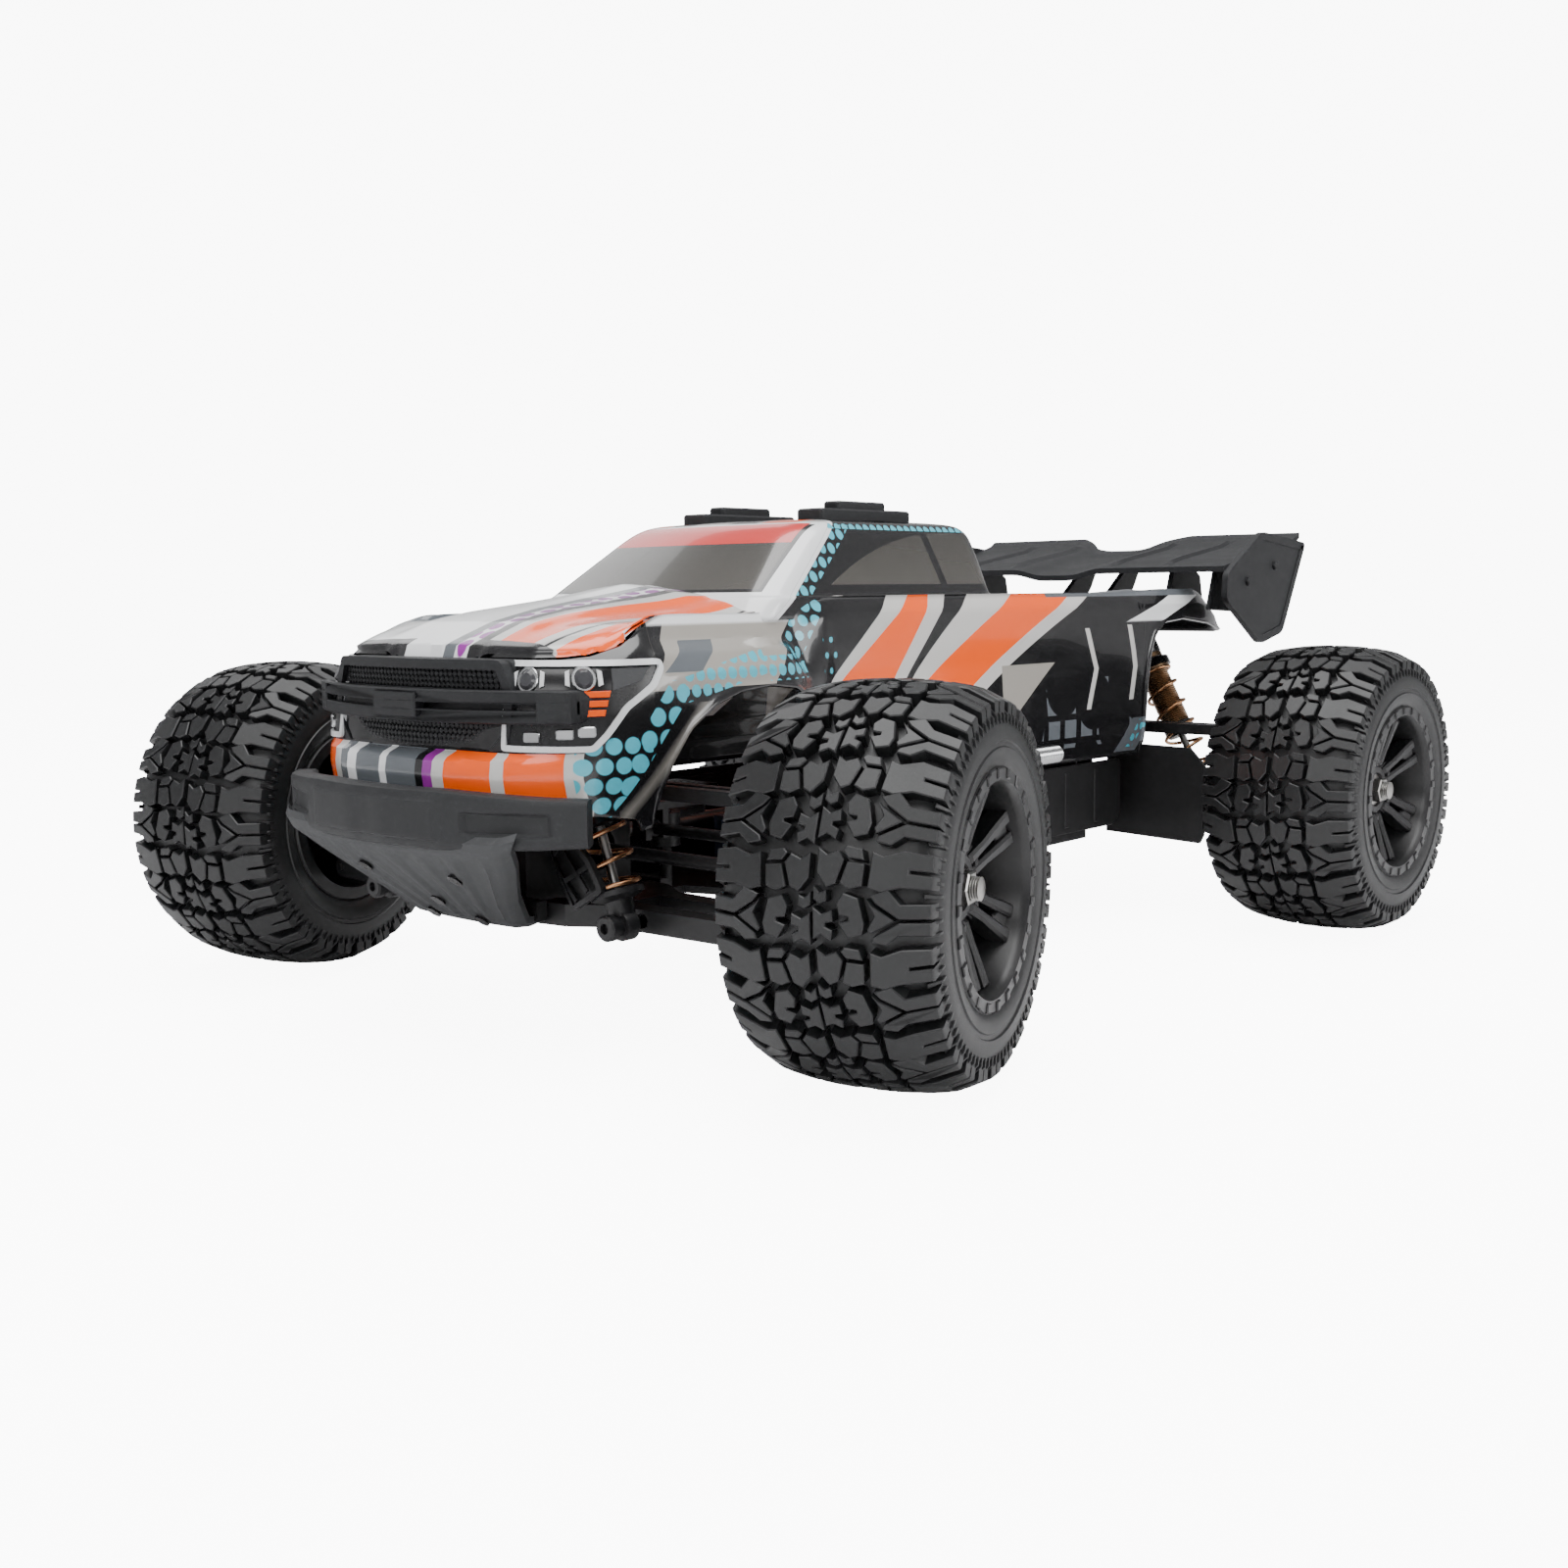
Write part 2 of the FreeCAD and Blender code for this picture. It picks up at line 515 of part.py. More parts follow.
def battery():
    """Battery pack and its strap."""
    pack = box("pack", (14, 60), (-104, 34), (44.3, 69))
    strap = fuse(box("strap", (12, 62), (-44, -26), (69.2, 70.8)), box("strap_leg", (60.3, 62), (-44, -26),
                                                                       (44, 70)),
                 box("strap_foot", (12, 13.7), (-44, -26), (44, 70)))
    return [pack, strap]


def electronics():
    """Speed controller with a cooling fan, and the receiver box."""
    controller = box("controller", (-60, -14), (-96, -52), (44.3, 68))
    fan = box("fan", (-50, -24), (-88, -62), (68.2, 76))
    receiver = box("receiver", (-60, -36), (-42, -4), (44.3, 64))
    return [controller, fan, receiver]


def motor():
    """Motor can and its mount, which also steadies the centre shaft."""
    can = rod("can", "motor_radius", "y", (46, "46 + motor_length"), "-motor_offset", "axle_height")
    mount = box("mount", (-50, 8), (43, 46), (44, 86))
    opening = rod("mount_opening", 8, "y", (40, 50), "-motor_offset", "axle_height")
    bearing = rod("mount_bearing", "centre_radius + running", "y", (40, 50), 0, "axle_height")
    return [can, cut(mount, opening, bearing)]


def pinion():
    """Motor pinion and its shaft."""
    gear = rod("gear", "pinion_radius", "y", (35, 41), "-motor_offset", "axle_height")
    stem = rod("gear_stem", 1.6, "y", (35, 45.7), "-motor_offset", "axle_height")
    return [fuse(gear, stem)]


def centre_shaft():
    """Centre shaft with the spur gear and the two input pinions."""
    shaft = rod("shaft", "centre_radius", "y", ("front_axle + 15", "rear_axle - 15"), 0, "axle_height")
    spur = rod("spur", "spur_radius", "y", (36, 40), 0, "axle_height")
    ends = [rod("input_pinion", 6, "y", limits, 0, "axle_height")
            for limits in (("front_axle + 15", "front_axle + 21"), ("rear_axle - 21", "rear_axle - 15"))]
    return [fuse(shaft, spur, *ends)]


def servo():
    """Low steering servo with its output spline."""
    case = box("servo_case", ("-crank_x - servo_wide / 2", "servo_wide / 2 - crank_x"),
               ("crank_y - 6", "crank_y + servo_long - 6"), (44.3, "servo_top"))
    spline = rod("spline", 2.95, "z", ("servo_top", "crank_top"), "-crank_x", "crank_y")
    return [fuse(case, spline)]


def crank(name, boss, bottom, hole):
    """Steering crank about the origin, its arm pointing back, with the stud for the drag link."""
    hub = rod(name, boss, "z", (bottom, "crank_top"), 0, 0)
    arm = box(name + "_arm", (-3.5, 3.5), (0, "knuckle_arm"), ("crank_top - 3", "crank_top"))
    end = rod(name + "_end", 3.5, "z", ("crank_top - 3", "crank_top"), 0, "knuckle_arm")
    stud = rod(name + "_stud", "pin_radius", "z", ("crank_top - 1", "link_bottom + link_thick"), 0,
               "knuckle_arm")
    bore = rod(name + "_bore", hole, "z", (50, 90), 0, 0)
    return [cut(fuse(hub, arm, end, stud), bore)]


def drag_link():
    """Drag link that joins the two cranks, with forked ears for the tie rods and their pins."""
    level = ("link_bottom", "link_bottom + link_thick")
    bar = box("link_bar", (-41, 41), ("crank_y + knuckle_arm - 4", "crank_y + knuckle_arm + 4"), level)
    parts = [bar]
    pins = []
    for side in (-1, 1):
        reach = ("tie_inner - 3.7", "tie_inner + 3.7") if side == 1 else ("-tie_inner - 3.7",
                                                                          "3.7 - tie_inner")
        parts.append(box("link_side", reach, ("front_axle + 20", "crank_y + knuckle_arm"), level))
        for limits in ((20, 23), (29, 32)):
            span = tuple(f"front_axle + {limit}" for limit in limits)
            parts.append(box("link_ear", reach, span, (67, "link_bottom + 1")))
        pins.append(rod("link_pin", "pin_radius", "y", ("front_axle + 20", "front_axle + 32"),
                        f"{side} * tie_inner", "link_height"))
    holes = [rod("link_hole", "pin_radius + running", "z", (70, 90), x, "crank_y + knuckle_arm")
             for x in ("crank_x", "-crank_x")]
    return [cut(fuse(*parts), *holes, *pins), *pins]


def tie_rod(name):
    """Tie rod from the drag link's ear to the eye over the knuckle's stud."""
    line = "knuckle_arm"
    stem = rod(name, 2.2, "x", ("tie_inner", "kingpin_x - 3"), line, "link_height")
    inner = rod(name + "_inner", 3.5, "y", (f"{line} - 2.7", f"{line} + 2.7"), "tie_inner", "link_height")
    outer = rod(name + "_outer", 4, "z", ("link_height - 2", "link_height + 2"), "kingpin_x", line)
    pin_hole = rod(name + "_pin_hole", "pin_radius + running", "y", (f"{line} - 5", f"{line} + 5"),
                   "tie_inner",
                   "link_height")
    stud_hole = rod(name + "_stud_hole", 2.6, "z", (60, 80), "kingpin_x", line)
    return [cut(fuse(stem, inner, outer), pin_hole, stud_hole)]


def side_profile(skin):
    """Side view of the shell's lower body, drawn in by the skin; a skin of 0 gives the outside."""
    floor = 80 if skin == 0 else 60
    return [(-240 + skin, floor), (-247 + skin, 92), (-247 + skin, 100), (-236 + skin, 110),
            (-232 + skin, 134 - skin), (-222 + skin, 139 - skin), (-190, 147 - skin), (-125, 158 - skin),
            (80, 158 - skin), (205, 150 - skin), (222 - skin, 143 - skin), (222 - skin, floor)]


def plan_profile(skin):
    """Top view of the shell's lower body, drawn in by the skin."""
    edge = 76 - skin
    return [(30, -247 + skin), (52, -241 + skin), (70 - skin, -226 + skin), (edge, -204), (edge, 200),
            (70 - skin, 222 - skin), (-70 + skin, 222 - skin), (-edge, 200), (-edge, -204),
            (-70 + skin, -226 + skin), (-52, -241 + skin), (-30, -247 + skin)]


def lower_body(name, skin):
    """Solid between the side and the top view."""
    side = plate(name + "_side", "YZ_Plane", side_profile(skin), "-shell_half", "2 * shell_half")
    plan = plate(name + "_plan", "XY_Plane", plan_profile(skin), 55, 110)
    solid = DOC.addObject("Part::Common", name)
    solid.Base = side
    solid.Tool = plan
    return solid


def cab(name, skin):
    """Tapered cab: belt rectangle below, roof rectangle above."""
    wedge = DOC.addObject("Part::Wedge", name)
    wedge.Zmin, wedge.Zmax = -24 + skin, 124 - skin
    wedge.Z2min, wedge.Z2max = -22 + skin, 83 - skin
    bind(wedge, Xmin=f"{skin} - belt_half", Xmax=f"belt_half - {skin}", X2min=f"{skin} - roof_half",
         X2max=f"roof_half - {skin}", Ymin=150 - skin, Ymax=f"roof_top - {skin}")
    return place(wedge, 0, 0, 0, X_AXIS, 90)


def body_shell(grille_solid):
    """Thin shell: lower body and cab, hollow, with four wheel arches and a slot for the wing mount."""
    outside = fuse(lower_body("shell", 0), cab("cab", 0))
    inside = fuse(lower_body("shell_room", 2), cab("cab_room", 2))
    front_arch = [(-197, 70), (-196, 92), (-176, 119), (-160, 124.5), (-128, 125), (-104, 108), (-93, 86),
                  (-92, 70)]
    rear_arch = [(138, 70), (139, 108), (147, 132), (172, 142), (230, 138), (230, 70)]
    arches = [plate("arch", "YZ_Plane", outline, -90, 180) for outline in (front_arch, rear_arch)]
    slot = box("wing_slot", (-56, 56), (166, 212), (120, 200))
    strut_notch = box("strut_notch", (-18, 18), (200, 230), (120, 200))
    latch_window = box("latch_window", (-90, 90), (38, 68), (70, 89.5))
    return [cut(outside, inside, *arches, slot, strut_notch, latch_window, grille_solid)]


def grille():
    """Raised eight-sided grille with its cross bar."""
    half = [(39, 103), (48, 112), (50, 128), (45, 137.5)]
    outline = half + [(-x, z) for x, z in reversed(half)]
    face = plate("grille_face", "XZ_Plane", outline, 231, 13)
    front = [(40, -249), (70.6, -230)]
    back = [(70.6, -227), (38, -238)]
    bar_outline = front + back + [(-x, y) for x, y in reversed(back)] + [(-x, y) for x, y in reversed(front)]
    bar = plate("grille_bar", "XY_Plane", bar_outline, 117, 10)
    return fuse(face, bar)


def roof_skids():
    """Two pads on the roof, each with a narrower plate on top."""
    pads = []
    for side in (-1, 1):
        base = box("skid_pad", (f"{side * 33} - 7", f"{side * 33} + 7"), (-65, -5), ("roof_top", 193.5))
        cap = box("skid_cap", (f"{side * 33} - 4.5", f"{side * 33} + 4.5"), (-58, -12), (193, 197))
        pads.append(fuse(base, cap))
    return pads


def wing():
    """Rear wing with two end plates."""
    section = [(176, 156), (200, 163.2), (240, 173), (262, 184), (260, 187), (238, 176.2), (199, 166.4),
               (176, 159)]
    blade = plate("blade", "YZ_Plane", section, -97, 194)
    end = [(210.6, 187.1), (262.4, 182.1), (236.5, 135.6), (211.6, 130.3), (172.8, 153.3), (173.8, 166.3)]
    plates = [plate("end_plate", "YZ_Plane", end, start, 3) for start in (-100, 97)]
    return [blade, *plates]


def corner(end, side, axle, long, top, low):
    """All nodes of one axle that both ends of the truck share."""
    length = f"sqrt(({low[0]} - {top[0]})^2 + ({top[1]} - {low[1]})^2)"
    lean = f"atan(({low[0]} - {top[0]}) / ({top[1]} - {low[1]}))"
    shock_y = f"{axle} + {side} * shock_side"
    shock_place = dict(x=top[0], y=shock_y, z=top[1], axis=Y_AXIS, angle=f"-{lean}", right_angle=lean)
    turn = "steer_rest" if side == FRONT else 0
    wheel_place = dict(x="kingpin_x", y=axle, axis=Z_AXIS, angle=turn)
    pair(f"{end}_tyre", tyre(f"{end}_tread"), **wheel_place)
    pair(f"{end}_rim", rim(f"{end}_barrel"), **wheel_place)
    arm = lower_arm(f"{end}_wishbone", side, low[0])
    if side == REAR:
        arm += guard("mud_guard")
    pair(f"{end}_lower_arm", arm, y=axle)
    pair(f"{end}_upper_arm", upper_arm(f"{end}_link"), y=axle)
    carrier = front_carrier("c_hub") if side == FRONT else rear_carrier("hub")
    pair(f"{end}_hub_carrier", carrier, y=axle)
    pair(f"{end}_drive_shaft", dogbone(f"{end}_dogbone"), y=axle)
    pair(f"{end}_shock_body", shock_body(f"{end}_damper", long), **shock_place)
    pair(f"{end}_shock_shaft", shock_shaft(f"{end}_stem", long, length, side), **shock_place)
    pair(f"{end}_shock_spring", spring(f"{end}_coil", length), **shock_place)
    node(f"{end}_gearbox", gearbox(f"{end}_case"), y=axle)
    node(f"{end}_differential", differential(f"{end}_drum"), y=axle)


def build():
    """Build every node."""
    make_sheet()
    corner("front", FRONT, "front_axle", "front_body", ("front_top_x", "front_top_z"), ("front_low_x",
                                                                                        "front_low_z"))
    corner("rear", REAR, "rear_axle", "rear_body", ("rear_top_x", "rear_top_z"), ("rear_low_x",
                                                                                  "rear_low_z"))
    pair("front_knuckle", knuckle("spindle"), x="kingpin_x", y="front_axle", axis=Z_AXIS, angle="steer_rest")
    shift = dict(x="-knuckle_arm * sin(steer_rest)", y="knuckle_arm * (cos(steer_rest) - 1)")
    crank_place = dict(y="crank_y", axis=Z_AXIS, angle="steer_rest")
    node("steering_crank", crank("crank", 6, 62, "2.5 + running"), x="crank_x", **crank_place)
    node("servo_saver", crank("saver", 8, "servo_top + 0.3", 3), x="-crank_x", **crank_place)
    node("drag_link", drag_link(), **shift)
    tie_place = dict(x=shift["x"], y=f"front_axle + {shift['y']}")
    tie_solids = tie_rod("tie")
    node("tie_rod_left", tie_solids, **tie_place)
    node("tie_rod_right", mirrored(tie_solids), **tie_place)
    towers = tower("front_tower", FRONT, "front_top_x", "front_top_z", "front_axle")
    towers += tower("rear_tower", REAR, "rear_top_x", "rear_top_z", "rear_axle") + wing_mount()
    node("shock_towers", towers)
    node("chassis", chassis())
    node("front_bumper", bumper())
    node("battery_pack", battery())
    node("speed_controller", electronics())
    node("motor", motor())
    node("motor_pinion", pinion())
    node("centre_shaft", centre_shaft())
    node("steering_servo", servo())
    grille_solid = grille()
    node("grille", [grille_solid])
    node("body_shell", body_shell(grille_solid))
    node("roof_skids", roof_skids())
    node("rear_wing", wing())
    DOC.recompute()


def write_parts():
    """Check every object, then write one STEP file for each node."""
    faults = [item.Name for item in DOC.Objects if "Invalid" in item.State or "Error" in item.State]
    faults += [item.Label for item in NODES if item.Shape.isNull() or not item.Shape.isValid()]
    if faults:
        raise RuntimeError("faulty objects: " + ", ".join(faults))
    os.makedirs("parts", exist_ok=True)
    for item in NODES:
        item.Shape.exportStep(f"parts/{item.Label}.step")


build()
DOC.removeObject("probe")
write_parts()
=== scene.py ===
"""Looks of a 1/10 radio-controlled monster truck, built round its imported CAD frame.

Lengths inside the classes are millimetres in the truck's frame: +Z up from the ground, the nose points
to -Y and the truck's left side is +X. Meshes are scaled to metres when they become pieces.
"""
from __future__ import annotations

import json
import logging
import math
from dataclasses import dataclass, field
from enum import Enum, IntEnum
from typing import Callable, Iterable, Sequence

import bpy
import numpy as np
from mathutils import Matrix, Vector

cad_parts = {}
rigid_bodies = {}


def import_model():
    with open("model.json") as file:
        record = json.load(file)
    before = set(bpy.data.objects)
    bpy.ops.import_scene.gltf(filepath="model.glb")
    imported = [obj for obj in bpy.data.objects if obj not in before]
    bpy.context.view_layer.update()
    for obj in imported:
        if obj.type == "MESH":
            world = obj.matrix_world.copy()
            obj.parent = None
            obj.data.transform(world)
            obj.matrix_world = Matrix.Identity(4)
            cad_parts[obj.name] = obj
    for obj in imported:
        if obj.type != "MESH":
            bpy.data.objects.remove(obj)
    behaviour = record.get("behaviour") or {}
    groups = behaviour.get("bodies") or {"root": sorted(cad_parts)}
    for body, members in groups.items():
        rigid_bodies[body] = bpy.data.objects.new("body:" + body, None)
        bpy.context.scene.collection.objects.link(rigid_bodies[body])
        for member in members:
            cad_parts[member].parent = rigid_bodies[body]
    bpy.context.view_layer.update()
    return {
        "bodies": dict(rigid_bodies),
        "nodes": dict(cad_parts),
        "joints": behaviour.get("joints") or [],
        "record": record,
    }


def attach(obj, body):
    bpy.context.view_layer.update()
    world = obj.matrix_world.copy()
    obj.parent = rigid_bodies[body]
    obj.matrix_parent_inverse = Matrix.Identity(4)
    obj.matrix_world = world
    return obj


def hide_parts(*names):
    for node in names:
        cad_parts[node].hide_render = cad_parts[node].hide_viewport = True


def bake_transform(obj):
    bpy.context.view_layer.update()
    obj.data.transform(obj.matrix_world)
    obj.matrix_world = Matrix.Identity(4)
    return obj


LOG = logging.getLogger("truck")
METRE = 0.001
AXLE_HEIGHT = 66.0
Array = np.ndarray
Placer = Callable[[Array], Array]
Material = bpy.types.Material
Socket = bpy.types.NodeSocket
Object = bpy.types.Object


class End(Enum):
    """End of the truck."""

    FRONT = "front"
    REAR = "rear"

    @property
    def axle(self) -> float:
        """Y of the end's axle."""
        return -180.0 if self is End.FRONT else 160.0


class Side(Enum):
    """Side of the truck, as the sign of its x."""

    LEFT = 1
    RIGHT = -1

    @property
    def word(self) -> str:
        """The side's name in the frame."""
        return self.name.lower()


# ---------------- shader maths
class Value:
    """A number socket whose Python operators add Math nodes."""

    def __init__(self, shader: Shader, socket: Socket) -> None:
        """Wrap a socket of a shader."""
        self.shader = shader
        self.socket = socket

    def math(self, operation: str, *others: Value | float, clamp: bool = False) -> Value:
        """Add a Math node.

        Args:
            operation: the node's operation.
            others: its second and third inputs.
            clamp: limit the result to 0..1.

        Returns:
            The node's result.
        """
        settings = {"operation": operation, "use_clamp": clamp}
        return self.shader.value("ShaderNodeMath", settings, {0: self, **dict(enumerate(others, start=1))})

    def __add__(self, other: Value | float) -> Value:
        """Sum."""
        return self.math("ADD", other)

    def __radd__(self, other: float) -> Value:
        """Sum, reflected."""
        return self.math("ADD", other)

    def __sub__(self, other: Value | float) -> Value:
        """Difference."""
        return self.math("SUBTRACT", other)

    def __rsub__(self, other: float) -> Value:
        """Difference, reflected."""
        return (self * -1.0) + other

    def __mul__(self, other: Value | float) -> Value:
        """Product."""
        return self.math("MULTIPLY", other)

    def __rmul__(self, other: float) -> Value:
        """Product, reflected."""
        return self.math("MULTIPLY", other)

    def __truediv__(self, other: Value | float) -> Value:
        """Quotient."""
        return self.math("DIVIDE", other)

    def above(self, edge: Value | float, soft: float = 0.15) -> Value:
        """Mask that is 1 where the value is over an edge, with a soft step."""
        return ((self - edge) * (1.0 / soft)).math("ADD", 0.5, clamp=True)

    def below(self, edge: Value | float, soft: float = 0.15) -> Value:
        """Mask that is 1 where the value is under an edge, with a soft step."""
        return ((self - edge) * (-1.0 / soft)).math("ADD", 0.5, clamp=True)

    def between(self, low: Value | float, high: Value | float, soft: float = 0.15) -> Value:
        """Mask that is 1 from one edge to another."""
        return self.above(low, soft) * self.below(high, soft)

    def either(self, other: Value) -> Value:
        """Larger of two masks."""
        return self.math("MAXIMUM", other)


class Shader:
    """Node tree of one material, with one method that adds any node."""

    def __init__(self, name: str) -> None:
        """Start an empty material.

        Args:
            name: the material's name.
        """
        self.material = bpy.data.materials.new(name)
        self.material.use_nodes = True
        self.tree = self.material.node_tree
        self.tree.nodes.clear()

    def node(self, kind: str, settings: dict | None = None, inputs: dict | None = None) -> bpy.types.Node:
        """Add a node.

        Args:
            kind: the node's type.
            settings: its properties, set before its inputs.
            inputs: value or link of each input, by name or by number.

        Returns:
            The node.
        """
        node = self.tree.nodes.new(kind)
        for key, value in (settings or {}).items():
            setattr(node, key, value)
        for key, value in (inputs or {}).items():
            socket = node.inputs[key]
            if isinstance(value, Value):
                self.tree.links.new(value.socket, socket)
            elif isinstance(value, Socket):
                self.tree.links.new(value, socket)
            else:
                socket.default_value = value
        return node

    def value(self, kind: str, settings: dict | None = None, inputs: dict | None = None,
              output: int | str = 0) -> Value:
        """Add a node and wrap one of its outputs as a number."""
        return Value(self, self.node(kind, settings, inputs).outputs[output])

    def coordinates(self) -> tuple[Value, Value, Value]:
        """Object coordinates in millimetres.

        Returns:
            x, y and z.
        """
        place = self.node("ShaderNodeTexCoord").outputs["Object"]
        parts = self.node("ShaderNodeSeparateXYZ", inputs={0: place})
        return tuple(Value(self, parts.outputs[axis]) * (1.0 / METRE) for axis in range(3))

    def noise(self, scale: float, detail: float = 4.0, rough: float = 0.55) -> Value:
        """Noise over object coordinates, with a scale in features per metre.

        Args:
            scale: features per metre.
            detail: octaves.
            rough: share of each finer octave.

        Returns:
            The noise's value.
        """
        place = self.node("ShaderNodeTexCoord").outputs["Object"]
        return self.value("ShaderNodeTexNoise", {}, {"Vector": place, "Scale": scale, "Detail": detail,
                                                     "Roughness": rough})

    def cells(self, scale: float) -> Value:
        """Distance to Voronoi cell points over object coordinates."""
        place = self.node("ShaderNodeTexCoord").outputs["Object"]
        return self.value("ShaderNodeTexVoronoi", {}, {"Vector": place, "Scale": scale})

    def mix(self, mask: Value, low: Sequence[float] | Socket,
            high: Sequence[float] | Socket) -> Socket:
        """Mix two colours by a mask.

        Args:
            mask: share of the second colour.
            low: colour where the mask is 0.
            high: colour where it is 1.

        Returns:
            The mixed colour.
        """
        node = self.node("ShaderNodeMix", {"data_type": "RGBA"})
        for slot, colour in ((6, low), (7, high)):
            if isinstance(colour, Socket):
                self.tree.links.new(colour, node.inputs[slot])
            else:
                node.inputs[slot].default_value = (*colour, 1.0)
        self.tree.links.new(mask.socket, node.inputs[0])
        return node.outputs[2]

    def bump(self, height: Value, strength: float, distance: float) -> Socket:
        """Bump normal from a height, with its distance in millimetres."""
        return self.node("ShaderNodeBump", {}, {"Strength": strength, "Distance": distance * METRE,
                                                "Height": height}).outputs[0]

    def finish(self, **inputs: object) -> Material:
        """Close the tree with a Principled shader.

        Args:
            inputs: its inputs; an underscore in a name stands for a blank.

        Returns:
            The material.
        """
        named = {key.replace("_", " "): value for key, value in inputs.items()}
        body = self.node("ShaderNodeBsdfPrincipled", {}, named)
        self.node("ShaderNodeOutputMaterial", {}, {"Surface": body.outputs[0]})
        return self.material


@dataclass(frozen=True)
class Plastic:
    """Moulded nylon with a fine grain, a mottled sheen and lighter worn spots."""

    name: str
    colour: tuple[float, float, float]
    roughness: float = 0.5
    grain: float = 0.25
    gloss: float = 0.32
    grain_scale: float = 2600.0

    def make(self) -> Material:
        """Build the material.

        Returns:
            The material.
        """
        shader = Shader(self.name)
        mottle = shader.noise(70.0)
        fine = shader.noise(self.grain_scale, 2.0)
        lighter = tuple(min(1.0, part * 1.5 + 0.006) for part in self.colour)
        darker = tuple(part * 0.75 for part in self.colour)
        scuff = shader.noise(420.0, 6.0, 0.7).above(0.62, 0.12) * 0.35
        base = shader.mix(scuff, shader.mix(mottle, darker, self.colour), lighter)
        rough = (mottle - 0.5) * 0.18 + self.roughness + scuff * 0.1
        return shader.finish(Base_Color=base, Roughness=rough, Specular_IOR_Level=self.gloss,
                             Normal=shader.bump(fine, self.grain, 0.08))


@dataclass(frozen=True)
class Rubber:
    """Tyre rubber: dark grey, dusty in broad random patches, with a soft sheen."""

    name: str
    colour: tuple[float, float, float] = (0.0085, 0.009, 0.0095)
    roughness: float = 0.42

    def make(self) -> Material:
        """Build the material.

        Returns:
            The material.
        """
        shader = Shader(self.name)
        broad = shader.noise(45.0)
        grain = shader.noise(1500.0, 5.0, 0.65)
        specks = shader.cells(330.0).below(0.045, 0.03) * 0.5
        dusty = tuple(part * 2.1 for part in self.colour)
        dust = shader.mix(broad.above(0.52, 0.5) * 0.5, self.colour, dusty)
        base = shader.mix(specks, dust, (0.06, 0.06, 0.055))
        rough = broad * 0.22 + grain * 0.1 + (self.roughness - 0.16)
        return shader.finish(Base_Color=base, Roughness=rough, Specular_IOR_Level=0.55,
                             Normal=shader.bump(grain, 0.35, 0.12))


@dataclass(frozen=True)
class Metal:
    """Turned or anodised metal with fine streaks."""

    name: str
    colour: tuple[float, float, float]
    roughness: float = 0.28
    metallic: float = 1.0

    def make(self) -> Material:
        """Build the material.

        Returns:
            The material.
        """
        shader = Shader(self.name)
        streak = shader.noise(900.0, 3.0, 0.6)
        smear = shader.noise(60.0)
        shade = tuple(part * 0.7 for part in self.colour)
        base = shader.mix(smear, shade, self.colour)
        rough = streak * 0.16 + smear * 0.1 + (self.roughness - 0.1)
        return shader.finish(Base_Color=base, Roughness=rough, Metallic=self.metallic,
                             Normal=shader.bump(streak, 0.08, 0.03))


# ---------------- mesh making
def catmull(points: Array, steps: int) -> Array:
    """Smooth curve through points along the first axis.

    Each stretch between two points is the Catmull-Rom cubic of its four nearest points, sampled evenly.

    Args:
        points: control points, shape (n, ...).
        steps: samples per stretch.

    Returns:
        Samples, shape ((n - 1) * steps + 1, ...).
    """
    points = np.asarray(points, float)
    padded = np.concatenate([2 * points[:1] - points[1:2], points, 2 * points[-1:] - points[-2:-1]])
    t = (np.arange(steps) / steps).reshape((1, steps) + (1,) * (points.ndim - 1))
    a, b, c, d = (padded[start:start + len(points) - 1, None] for start in range(4))
    square, cube = 2 * a - 5 * b + 4 * c - d, 3 * b - a - 3 * c + d
    curve = 0.5 * (2 * b + (c - a) * t + square * t ** 2 + cube * t ** 3)
    return np.concatenate([curve.reshape((-1,) + points.shape[1:]), points[-1:]])


def round_corners(outline: Array, radius: float, steps: int = 4) -> Array:
    """Closed outline with each corner cut back and rounded by a quadratic arc.

    Args:
        outline: corners, shape (n, 2).
        radius: how far along each side the rounding starts.
        steps: stretches in each arc.

    Returns:
        Rounded outline, shape (n * (steps + 1), 2).
    """
    outline = np.asarray(outline, float)
    before = np.roll(outline, 1, axis=0) - outline
    after = np.roll(outline, -1, axis=0) - outline
    lengths = [np.linalg.norm(side, axis=1, keepdims=True) for side in (before, after)]
    starts = outline + before / lengths[0] * np.minimum(radius, lengths[0] * 0.45)
    ends = outline + after / lengths[1] * np.minimum(radius, lengths[1] * 0.45)
    t = np.linspace(0, 1, steps + 1).reshape(1, -1, 1)
    arcs = (1 - t) ** 2 * starts[:, None] + 2 * t * (1 - t) * outline[:, None] + t ** 2 * ends[:, None]
    return arcs.reshape(-1, 2)


def turn_about(points: Array, axis: Sequence[float], angle: float) -> Array:
    """Points turned about an axis through the origin, by the rotation formula of Rodrigues.

    Args:
        points: shape (..., 3).
        axis: direction of the axis.
        angle: turn in radians.

    Returns:
        The turned points.
    """
    axis = np.asarray(axis, float) / np.linalg.norm(axis)
    along = points @ axis
    return (points * math.cos(angle) + np.cross(axis, points) * math.sin(angle)
            + along[..., None] * axis * (1 - math.cos(angle)))


